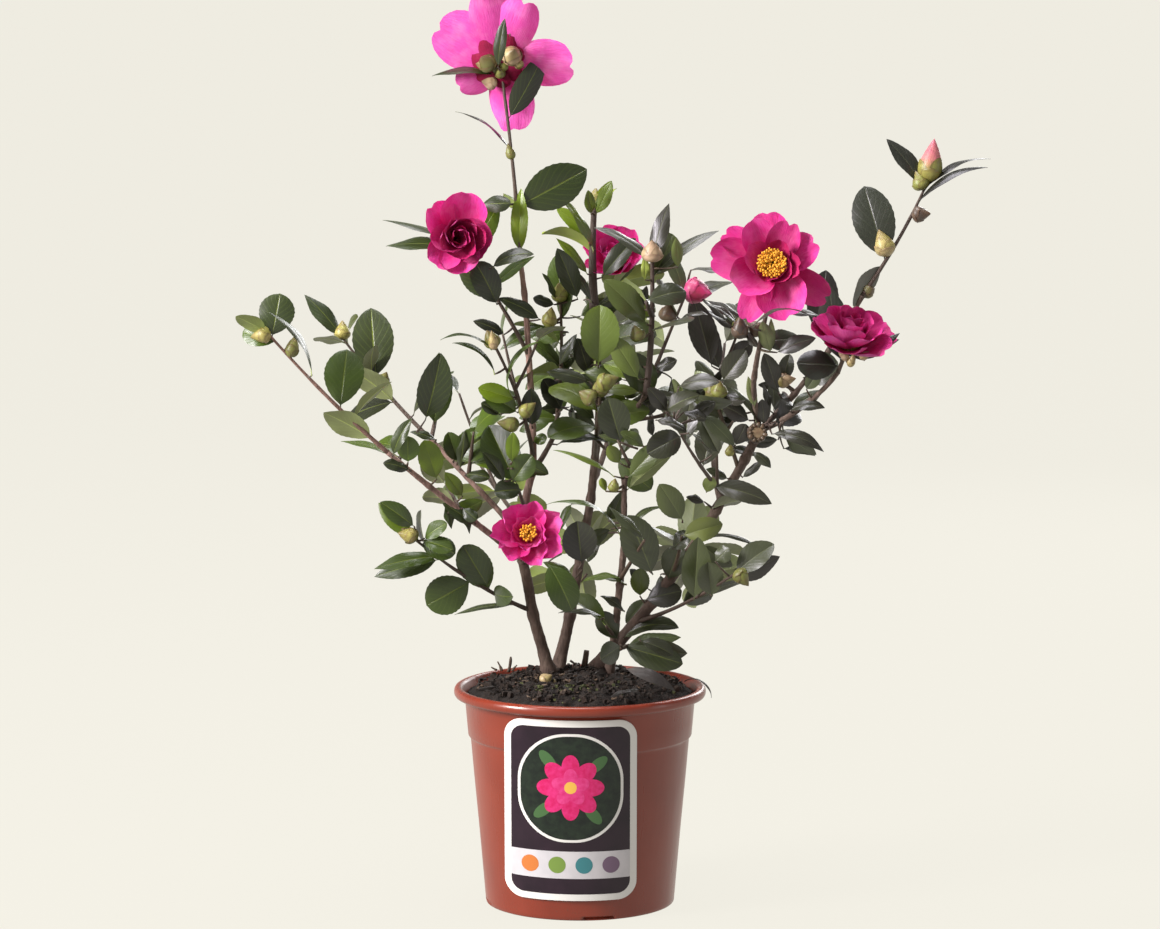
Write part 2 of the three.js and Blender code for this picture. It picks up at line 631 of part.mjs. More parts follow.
function makePot() {
  const p = POT;
  const inside = p.channelHeight + p.floor;
  let shape = turned([
    [0, 0],
    [p.padRadius, 0],
    [p.padRadius, p.channelHeight],
    [p.channelRadius, p.channelHeight],
    [p.channelRadius, 0],
    [p.footRadius - p.footChamfer, 0],
    [p.footRadius, p.footChamfer],
    [p.stepRadius, p.stepHeight - p.stepRise],
    [p.collarRadius, p.stepHeight + p.stepRise],
    [p.neckRadius, p.neckHeight],
    [p.lipRadius - p.stepRise, p.neckHeight + p.lipUnderside],
    [p.lipRadius, p.neckHeight + p.lipBelly],
    [p.lipRadius - p.lipShoulder, p.height - p.lipDrop],
    [p.lipRadius - p.lipFlat, p.height],
    [p.neckRadius - p.wall, p.neckHeight - p.stepRise],
    [p.footRadius - p.wall, inside],
    [p.padRadius - p.floor, inside],
    [p.padRadius - p.floor, p.floor],
    [0, p.floor],
  ], p.sides);
  for (let i = 0; i < DRAIN.holes; i += 1) {
    const angle = (2 * Math.PI * (i + DRAIN.start)) / DRAIN.holes;
    const hole = new THREE.CylinderGeometry(DRAIN.radius, DRAIN.radius, 3 * inside, DRAIN.sides);
    hole.rotateX(Math.PI / 2);
    hole.translate(DRAIN.circle * Math.cos(angle), DRAIN.circle * Math.sin(angle), 0);
    shape = shape.subtract(solid(hole));
  }
  for (let i = 0; i < SLOT.count; i += 1) {
    const reach = 2 * (p.footRadius - p.channelRadius) + SLOT.reach;
    const slot = new THREE.BoxGeometry(reach, SLOT.width, SLOT.height);
    slot.translate(p.footRadius, 0, SLOT.bottom + SLOT.height / 2);
    slot.rotateZ((2 * Math.PI * (i + SLOT.start)) / SLOT.count);
    shape = shape.subtract(solid(slot));
  }
  return largest(shape);
}

// The soil fills the pot and mounds up to a level pad where the stems stand
function makeSoil() {
  const p = POT;
  const inset = p.wall + GAP;
  const bottom = p.floor + GAP;
  const inside = p.channelHeight + bottom;
  return turned([
    [0, bottom],
    [p.padRadius - bottom, bottom],
    [p.padRadius - bottom, inside],
    [p.footRadius - inset, inside],
    [p.neckRadius - inset, p.neckHeight - p.stepRise],
    [p.neckRadius - inset, SOIL.edgeHeight],
    [SOIL.shoulderRadius, SOIL.shoulderHeight],
    [SOIL.padRadius, SOIL.padHeight],
    [0, SOIL.padHeight],
  ], p.sides);
}

// The card is a rounded rectangle of thin sheet, curved round the pot's front
function makeCard() {
  const c = CARD;
  const top = c.bottom + c.height;
  const low = POT.footRadius + GAP + c.clearance;
  const high = POT.neckRadius + GAP + c.clearance;
  const sheet = turned([
    [low, 0],
    [low + c.thickness, 0],
    [high + c.thickness, POT.neckHeight],
    [high, POT.neckHeight],
    [low, 0],
  ], POT.sides);
  const [left, right] = [c.offset - c.width / 2, c.offset + c.width / 2];
  const quarter = Math.PI / 2;
  const outline = new THREE.Shape();
  outline.moveTo(left + c.corner, c.bottom);
  outline.absarc(right - c.corner, c.bottom + c.corner, c.corner, -quarter, 0, false);
  outline.absarc(right - c.corner, top - c.corner, c.corner, 0, quarter, false);
  outline.absarc(left + c.corner, top - c.corner, c.corner, quarter, 2 * quarter, false);
  outline.absarc(left + c.corner, c.bottom + c.corner, c.corner, 2 * quarter, 3 * quarter, false);
  const settings = { depth: 2 * POT.lipRadius, bevelEnabled: false, curveSegments: c.cornerSteps };
  const prism = new THREE.ExtrudeGeometry(outline, settings).rotateX(Math.PI / 2);
  return largest(sheet.intersect(solid(prism)));
}

// The radius of a limb or twig along its length, with the root flare of a stem
function radiusAlong([root, tip], flare = 0) {
  return (share) => root + (tip - root) * share + flare * root * Math.exp(-share / LIMB.flareLength);
}

const plant = new THREE.Group();
const routes = {};

plant.add(mesh("pot", makePot(), COLOURS.pot));
const soil = makeSoil();
place("soil", soil);
plant.add(mesh("soil", soil, COLOURS.soil));
plant.add(mesh("label", makeCard(), COLOURS.card));

function addLimb(name, start, tip, bow, sides, radius, foot) {
  const route = path(start, vector(tip), vector(bow));
  const shape = carve(name, tube(route, sides, LIMB.span, radius, 0, foot));
  place(name, shape, tube(route, sides, LIMB.span, radius, GAP, foot));
  plant.add(mesh(name, shape, COLOURS.bark));
  routes[name] = route;
}

for (const [name, [foot, tip, bow, radii]] of Object.entries(STEMS)) {
  addLimb(name, vector([...foot, GROUND]), tip, bow, LIMB.stemSides, radiusAlong(radii, LIMB.flare), GROUND);
}
for (const [name, [limb, share, tip, bow, radii]] of Object.entries(BOUGHS)) {
  addLimb(name, routes[limb].getPoint(share), tip, bow, LIMB.boughSides, radiusAlong(radii), null);
}

// The twigs of a mass are one solid. A side twig that would touch another mass is skipped, with
// its leaves.
function twigsOf([name, [limb, share, tip, bow, leaves, twigs, size, end]], order) {
  const route = path(routes[limb].getPoint(share), vector(tip), vector(bow));
  const item = { name, route, end, shape: null, pieces: [], shoots: [] };
  for (const shoot of grow(route, leaves, twigs, size, order + 1)) {
    const radius = radiusAlong(shoot.radii);
    const piece = tube(shoot.route, TWIG.sides, TWIG.span, radius);
    if (item.shape === null) {
      item.shape = carve(name, piece);
      place(name, item.shape, tube(shoot.route, TWIG.sides, TWIG.span, radius, GAP));
      item.shoots.push({ ...shoot, piece });
    } else if (addPiece(item, piece)) {
      item.shoots.push({ ...shoot, piece });
    }
  }
  return item;
}

function addPiece(item, piece) {
  if (!isClear(item.name, piece)) {
    return false;
  }
  item.shape = item.shape.add(piece);
  item.pieces.push(piece);
  place(item.name, piece);
  return true;
}

// A seeded leaf that would touch another turns on round its twig, and is skipped if no place is free
function addLeaf(item, shoot, frame) {
  const others = item.pieces.filter((piece) => piece !== shoot.piece);
  for (let turn = 0; turn < LEAF.places; turn += 1) {
    const angle = radians(turn * LEAF.nextPlace);
    const along = frame.along.clone().applyAxisAngle(frame.twig, angle);
    const face = frame.face.clone().applyAxisAngle(frame.twig, angle);
    const piece = leaf({ ...frame, along, face }, INNER_OUTLINE);
    if (others.every((other) => piece.minGap(other, GAP) > 0) && addPiece(item, piece)) {
      return;
    }
  }
}

// Twigs come first, then blossom and buds, then leaves, so that the later ones give way
const masses = Object.entries(MASSES).map(twigsOf);
for (const item of masses.filter((one) => one.end)) {
  addPiece(item, twigEnd(item.route, ENDS[item.end]));
  item.pieces.pop();
}
for (const item of masses) {
  for (const [share, azimuth, rise, length, radius] of SIDE_BUDS[item.name] ?? []) {
    addPiece(item, bud(item.route.getPoint(share), direction(azimuth, rise), length, radius));
  }
  for (const row of EDGE_LEAVES[item.name] ?? []) {
    addPiece(item, leaf(edgeLeaf(item.route, row), EDGE_OUTLINE));
  }
}
for (const item of masses) {
  for (const shoot of item.shoots) {
    for (const frame of shoot.frames) {
      addLeaf(item, shoot, frame);
    }
  }
  plant.add(mesh(`foliage_${item.name}`, largest(item.shape), COLOURS.foliage));
}

export default plant;
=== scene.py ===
import math

import bpy
import numpy as np
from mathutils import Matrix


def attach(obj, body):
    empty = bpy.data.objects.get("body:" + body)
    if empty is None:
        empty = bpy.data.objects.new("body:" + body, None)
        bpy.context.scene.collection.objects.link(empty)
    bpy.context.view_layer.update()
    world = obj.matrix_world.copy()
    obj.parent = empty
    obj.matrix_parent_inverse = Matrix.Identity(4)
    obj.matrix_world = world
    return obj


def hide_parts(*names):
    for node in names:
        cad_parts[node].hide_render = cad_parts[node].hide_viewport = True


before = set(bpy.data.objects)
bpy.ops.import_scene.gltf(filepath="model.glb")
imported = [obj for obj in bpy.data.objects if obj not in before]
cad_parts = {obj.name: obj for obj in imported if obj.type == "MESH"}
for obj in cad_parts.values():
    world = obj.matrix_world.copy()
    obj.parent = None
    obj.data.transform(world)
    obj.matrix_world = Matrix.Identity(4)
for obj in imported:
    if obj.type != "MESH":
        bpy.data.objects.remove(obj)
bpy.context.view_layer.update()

MM = 0.001
GOLDEN = math.radians(137.5)
GROUND = 170.3

# Stems: foot on the soil, tip, bow, radius at the foot and at the tip (all in millimetres)
STEMS = {
    "stem_left": [(-23, 22), (-43, 4, 260), (-3, 0, 0), (5.2, 4.4)],
    "stem_middle": [(-17, 42), (13, 50, 345), (6, 6, 0), (4.8, 3.4)],
    "stem_thin": [(22, 18), (33, -46, 328), (6, -4, 0), (3.6, 2.2)],
    "stem_right": [(11, 44), (134, -12, 360), (14, 0, -10), (5.4, 3.8)],
}

# Boughs: the limb they fork from and the share of its length, tip, bow, radius at root and at tip
BOUGHS = {
    "stem_left_upper": ["stem_left", 1, (-35, 8, 328), (-6, 4, 0), (4.2, 3.4)],
    "bough_left_low": ["stem_left", 1, (-142, -50, 348), (6, 0, -6), (3, 2.1)],
    "bough_left_high": ["stem_left_upper", 0.25, (-116, 52, 348), (4, 6, -4), (2.8, 2)],
    "bough_tall": ["stem_left_upper", 1, (-44, -10, 485), (4, 0, 0), (3.1, 2.3)],
    "bough_inner": ["stem_left_upper", 1, (-17, 38, 368), (8, 0, -2), (2.5, 1.9)],
    "bough_middle_top": ["stem_middle", 1, (11, 44, 445), (4, 0, 0), (2.9, 2)],
    "bough_middle_right": ["stem_middle", 1, (49, -20, 387), (4, 0, -6), (2.6, 2)],
    "bough_back": ["stem_middle", 0.8, (31, 120, 369), (0, 20, -10), (2.6, 2)],
    "bough_right_top": ["stem_right", 1, (131, -60, 425), (-8, -6, 0), (2.7, 2.1)],
    "bough_right_side": ["stem_right", 1, (190, -46, 407), (6, -4, -8), (2.7, 2)],
    "bough_right_tall": ["stem_right", 1, (213, 40, 456), (8, 6, -8), (2.7, 2)],
    "bough_right_back": ["stem_right", 0.72, (97, 96, 371), (0, 14, -4), (2.5, 1.9)],
}

# Foliage: limb and share of its length, tip of the leading twig, bow, leaves, side twigs, size of leaf, end
MASSES = {
    "left_low_tip": ["bough_left_low", 1, (-226, -88, 439), (0, 0, -6), 2, 0, 0.8, "bud"],
    "left_low_side": ["bough_left_low", 0.93, (-121, -20, 360), (0, 8, 0), 3, 0, 0.75, None],
    "left_low_under": ["bough_left_low", 0.5, (-101, 6, 317), (0, 8, 0), 4, 0, 0.7, None],
    "left_high_tip": ["bough_left_high", 1, (-182, 78, 421), (0, 0, -6), 3, 0, 0.8, "bud"],
    "left_high_up": ["bough_left_high", 0.97, (-110, 96, 388), (4, 0, 0), 2, 0, 0.9, None],
    "left_high_in": ["bough_left_high", 0.6, (-80, 20, 356), (0, 0, 0), 6, 0, 1, None],
    "low_left": ["stem_left", 0.55, (-123, -44, 283), (0, 0, -10), 2, 0, 0.8, "bud"],
    "low_bloom": ["stem_left", 0.96, (-38, -26, 279), (0, 0, -3), 1, 0, 0.8, "cup"],
    "inner_left": ["stem_left_upper", 0.55, (-53, -50, 346), (0, -6, 0), 6, 1, 1, None],
    "top_bloom": ["bough_tall", 1, (-59, 2, 631), (3, 0, 0), 1, 0, 0.8, "back"],
    "rose_bloom": ["bough_tall", 0.55, (-92, -34, 504), (6, 0, 0), 2, 0, 0.8, "wrapped"],
    "inner_buds": ["bough_tall", 0.06, (-63, -46, 427), (8, -8, 0), 7, 2, 0.9, "bud"],
    "inner_top": ["bough_inner", 1, (-15, 20, 455), (4, 0, 0), 6, 1, 0.95, "bud"],
    "middle_top": ["bough_middle_top", 1, (11, 50, 524), (-3, 0, 0), 4, 0, 0.85, "bud"],
    "half_bloom": ["bough_middle_top", 0.9, (31, 84, 471), (0, 6, 0), 4, 0, 0.95, "half"],
    "middle_front": ["bough_middle_top", 0.5, (16, -20, 430), (0, -8, 0), 6, 1, 1.05, None],
    "centre_top": ["bough_middle_right", 1, (53, -34, 490), (4, 0, 0), 6, 1, 0.9, "bud"],
    "pink_bud": ["bough_middle_right", 0.9, (81, 26, 462), (0, 8, 0), 5, 0, 0.9, "pink"],
    "centre_front": ["stem_middle", 0.92, (15, -34, 391), (0, -8, 0), 7, 1, 1, "bud"],
    "centre_right": ["bough_middle_right", 0.5, (84, 20, 370), (0, 6, 0), 7, 1, 0.95, None],
    "thin_top": ["stem_thin", 1, (47, -66, 363), (0, 0, 0), 7, 1, 0.95, None],
    "thin_side": ["stem_thin", 0.5, (47, -96, 289), (0, 0, 0), 4, 0, 0.95, None],
    "thin_left": ["stem_thin", 0.42, (-15, -60, 275), (0, 0, -4), 6, 1, 1, None],
    "thin_low": ["stem_thin", 0.2, (4, -76, 243), (0, 0, 0), 4, 0, 0.9, None],
    "right_low": ["stem_right", 0.22, (116, -64, 261), (0, 0, -8), 7, 0, 1, "bud"],
    "right_under": ["stem_thin", 0.12, (68, -40, 223), (0, 0, -4), 5, 1, 0.95, None],
    "right_inner": ["stem_right", 0.42, (75, -56, 307), (6, 0, 0), 4, 0, 0.85, None],
    "right_middle": ["stem_right", 0.6, (124, -50, 315), (0, 0, 4), 5, 0, 0.95, None],
    "right_upper": ["stem_right", 0.85, (100, -20, 386), (0, 0, 0), 6, 1, 0.95, "bud"],
    "right_dark": ["bough_right_back", 1, (122, 96, 425), (4, 0, 0), 3, 1, 0.9, "bud"],
    "big_bloom": ["bough_right_top", 1, (142, -70, 483), (0, 0, 0), 4, 1, 0.95, "open"],
    "second_bloom": ["bough_right_side", 1, (197, -58, 428), (0, 0, 0), 4, 0, 0.95, "side"],
    "right_tall": ["bough_right_tall", 1, (265, 70, 542), (4, 0, -4), 0, 0, 1, "pointed"],
    "right_side": ["stem_right", 1, (166, -60, 371), (0, 0, 6), 6, 0, 1, None],
    "back_left": ["stem_left_upper", 0.4, (-87, 150, 329), (0, 14, -10), 7, 2, 1, None],
    "back_centre": ["bough_back", 1, (24, 166, 419), (0, 10, 0), 9, 2, 1, None],
    "back_low": ["stem_middle", 0.5, (4, 140, 252), (0, 10, -8), 8, 1, 1, None],
    "back_right": ["stem_right", 0.5, (86, 120, 255), (0, 10, -6), 8, 1, 1, None],
    "front_right": ["stem_right", 0.75, (66, -130, 381), (0, -10, -6), 8, 1, 1, None],
}

# Leaves that stand alone: share of the twig's length, compass angle, rise, length, width, turn about the
# midrib, and at times how young and the curl
EDGE_LEAVES = {
    "left_low_tip": [(1, -160, 35, 30, 14, 160, 0.3), (0.97, -35, 77, 33, 26, 0, 0.1),
                     (0.4, 55, 80, 46, 29, 0, 0.3), (0.12, -165, 36, 46, 23, 160, 0.2)],
    "left_low_side": [(0.11, 180, 27, 46, 14, 75)],
    "left_high_tip": [(1, 180, 56, 45, 15, 40), (0.95, -160, 22, 28, 17, 120),
                      (0.6, 130, 82, 58, 32, 0, 0.05), (0.38, -158, 44, 50, 26, 150, 0.15)],
    "left_high_up": [(0.2, -25, 82, 58, 24, 15)],
    "low_left": [(1, 180, 46, 38, 14, 10, 0.45), (0.95, -20, -6, 28, 20, -40), (0.78, -172, -9, 52, 17, 30),
                 (0.52, -160, -27, 39, 29, 0), (0.36, 168, 58, 39, 24, 0), (0.14, 170, 1, 50, 13, 75, 0.05)],
    "top_bloom": [(1, -86, 68, 41, 13, -50), (0.95, 180, 20, 54, 15, 70, 0.2, 45),
                  (0.72, -20, 57, 60, 19, 10, 0.05, 28), (0.56, 174, 62, 54, 10, 75, 0.1, 55),
                  (0.28, 0, 28, 61, 32, 0, 0.15), (0.04, -114, 82, 50, 14, -20, 0.52)],
    "rose_bloom": [(0.86, 28, 55, 50, 17, 0), (0.97, 168, 28, 60, 14, 80), (0.93, 176, 10, 58, 15, 50),
                   (0.49, -166, 45, 40, 20, 10), (0.58, -4, 47, 41, 17, -60)],
    "inner_top": [(0.97, 110, 80, 39, 17, 0), (0.8, -75, 78, 43, 17, -50)],
    "middle_top": [(0.9, -16, 60, 30, 13, 10), (0.66, -160, 49, 38, 15, 40)],
    "half_bloom": [(0.7, -29, 60, 43, 18, 20), (0.66, -20, -28, 38, 21, 10)],
    "centre_top": [(0.97, -3, 80, 46, 14, -30, 0.0), (0.97, 180, 50, 52, 14, 60, 0.1, 45),
                   (0.86, 0, 52, 62, 14, -60, 0.1, 40)],
    "pink_bud": [(0.94, 145, 72, 48, 14, 30), (0.92, 13, 28, 41, 17, -60)],
    "right_dark": [(0.4, -160, 66, 60, 21, 10), (0.55, 0, 34, 26, 15, 10), (1, -165, 41, 32, 14, 60)],
    "big_bloom": [(0.48, 0, 8, 39, 15, -75), (0.1, 0, 8, 31, 17, -30)],
    "second_bloom": [(0.28, 124, 75, 66, 23, 0), (0.54, 0, 25, 44, 15, -40), (0.2, -160, 9, 33, 23, 20)],
    "right_tall": [(0.32, 165, 74, 61, 32, 0, 0.2), (0.3, -164, -44, 43, 17, 150, 0.0),
                   (0.94, 180, 58, 48, 15, 30, 0.1), (0.9, 0, 58, 62, 11, -75, 0.0, 66),
                   (0.79, -10, 62, 66, 12, -78, 0.0, 70)],
    "right_low": [(0.9, -6, 18, 43, 18, 20), (0.44, 10, 29, 66, 15, -75)],
    "thin_side": [(1, 180, 53, 36, 12, 55, 0.15)],
    "right_under": [(0.28, -14, -12, 45, 20, 20), (0.2, -3, 20, 44, 17, -60)],
}

# Buds on the side of a twig: share of its length, compass angle, rise, length, radius
SIDE_BUDS = {
    "left_low_tip": [(0.82, 20, 75, 17, 5, 0.45)],
    "left_high_tip": [(0.55, -40, 60, 13, 5, 0.35)],
    "top_bloom": [(0.93, 160, 70, 13, 4, 0.5), (0.52, 170, 75, 13, 3.5, 0.4)],
    "right_tall": [(0.36, 172, 70, 22, 7.6, 0.12), (0.92, 170, 66, 16, 6.5, 0.28),
                   (0.72, -20, 4, 15, 6, 0.72), (0.02, 40, 20, 13, 5, 0.62)],
    "big_bloom": [(0.2, 175, 40, 14, 6, 0.7)],
    "centre_right": [(0.6, -20, 20, 15, 7, 0.5)],
}

# Blooms: where they face, their rows of petals (number, length, width, opening angle, curl, cup, ruffle),
# single petals (the angle they stand at, the same sizes and at times the painted shade), husk (angle, length,
# width), caps (how far to the right and up, length, radius, lean, tone), the number of stamens and how wide
# they spread, how deep the colour is, which is painted shade, and how much more of it each inner row gets, the
# painted shade of the cup, the petals' twist, and a shift in millimetres
BLOOMS = {
    "back": dict(facing=(78, 18), stamens=0, depth=0.1, calyx=True, twist=4, rows=[],
        petals=[(149, 58, 47, 80, 14, 0.3, 1.4), (97, 57, 36, 80, 10, 0.35, 1.2),
        (66, 57, 33, 82, 12, 0.35, 1.2), (-1, 59, 42, 80, 16, 0.3, 1.6), (-80, 55, 40, 80, 24, 0.5, 3.2),
        (-152, 40, 28, 78, 20, 0.35, 1.4)], husk=[(20, 24, 22), (62, 27, 24), (105, 25, 24), (150, 24, 24),
        (200, 22, 20), (262, 18, 18), (320, 18, 18)], caps=[(11, 10, 15, 7.6, 60, 0.08),
        (-8, 4, 14, 7.2, 120, 0.5), (-7, -12, 13, 4.8, 150, 0.02), (1, -4, 10, 3.8, 80, 0.3),
        (-12, 2, 10, 3.6, 150, 0.1), (16, 3, 9, 3.6, 10, 0.12)]),
    "wrapped": dict(facing=(-82, 6), stamens=0, depth=0.0, shift=(1.2, 0, 1), twist=8, rows=[],
        petals=[(100, 36, 38, 78, -24, 0.5, 1.4, 0.0), (48, 33, 31, 78, -22, 0.5, 1.2, 0.05),
        (172, 32, 34, 74, -30, 0.6, 1.4, 0.42), (212, 30, 28, 70, -30, 0.6, 1.4, 0.5),
        (-98, 31, 35, 78, -24, 0.5, 1.4, 0.02), (-52, 30, 30, 76, -24, 0.5, 1.4, 0.1),
        (-6, 25, 24, 68, -20, 0.6, 1, 0.4), (178, 30, 36, 54, -26, 0.9, 1, 0.8),
        (116, 27, 30, 50, -24, 0.9, 1, 0.75), (240, 28, 32, 52, -24, 0.9, 1, 0.75),
        (-40, 25, 28, 50, -24, 0.9, 1, 0.65), (40, 24, 26, 48, -24, 0.9, 1, 0.65),
        (172, 22, 26, 32, -10, 1.2, 0.8, 0.4), (250, 21, 23, 30, -10, 1.2, 0.8, 0.5),
        (10, 19, 22, 28, -10, 1.2, 0.8, 0.9), (90, 19, 22, 28, -10, 1.2, 0.8, 0.85),
        (140, 13, 18, 6, 0, 1.3, 0.4, 1.0), (320, 13, 18, 6, 0, 1.3, 0.4, 1.0)]),
    "cup": dict(facing=(-90, 20), stamens=34, wide=0.6, depth=0.02, painted_shade_per_row=0.16, shift=(-0.5, 0, 2.6),
        twist=6, rows=[(7, 32, 27, 74, -34, 0.6, 3), (5, 24, 23, 50, -30, 0.7, 2)]),
    "open": dict(facing=(-94, 16), stamens=120, depth=0.25, shift=(-2, 0, 3), twist=6, rows=[],
        petals=[(-151, 46, 26, 88, 6, 0.3, 1.6, 0.5), (-64, 46, 22, 86, 4, 0.3, 1.2, 0.2),
        (34, 47, 28, 82, -8, 0.35, 1.8, 0.1), (151, 40, 28, 78, -12, 0.4, 2, 0.2),
        (83, 41, 32, 76, -14, 0.4, 2, 0.1), (5, 46, 36, 78, -12, 0.5, 2, 0.25),
        (-110, 46, 44, 80, -14, 0.55, 2, 0.15), (113, 38, 27, 70, -18, 0.5, 1.8, 0.4),
        (62, 41, 30, 70, -16, 0.4, 2, 0.05), (-39, 40, 38, 70, -22, 0.6, 1.6, 0.3),
        (187, 28, 26, 60, -20, 0.6, 1.4, 0.8), (112, 27, 22, 56, -16, 0.6, 1, 0.8),
        (20, 30, 28, 56, -18, 0.5, 1.2, 0.4), (-82, 22, 32, 54, -26, 0.7, 1.2, 0.8),
        (-145, 24, 24, 52, -20, 0.6, 1, 0.8)]),
    "side": dict(facing=(-66, 62), stamens=0, depth=0.35, painted_shade_per_row=0.08, calyx=True, twist=8,
        rows=[(6, 37, 38, 80, -24, 0.5, 1.6), (5, 33, 34, 58, -28, 0.6, 1.8), (4, 28, 28, 36, -24, 0.7, 1.6),
        (3, 24, 22, 16, -12, 0.8, 1.2)]),
    "half": dict(facing=(-102, 36), stamens=0, depth=-0.1, painted_shade_per_row=0.04, shift=(-3, -16, 8), twist=8,
        rows=[(6, 36, 32, 60, -36, 0.6, 1.6), (4, 28, 25, 36, -26, 0.7, 1.2), (3, 24, 20, 16, -14, 0.8, 0.8)]),
}
BUD_ENDS = {"bud": (15.5, 6, None), "pink": (23, 9.4, (-30, -6)), "pointed": (34, 9, (10, 82))}
BUD_LEANS = {"left_low_tip": (175, -12), "left_high_tip": (90, 84), "right_low": (-20, -50)}

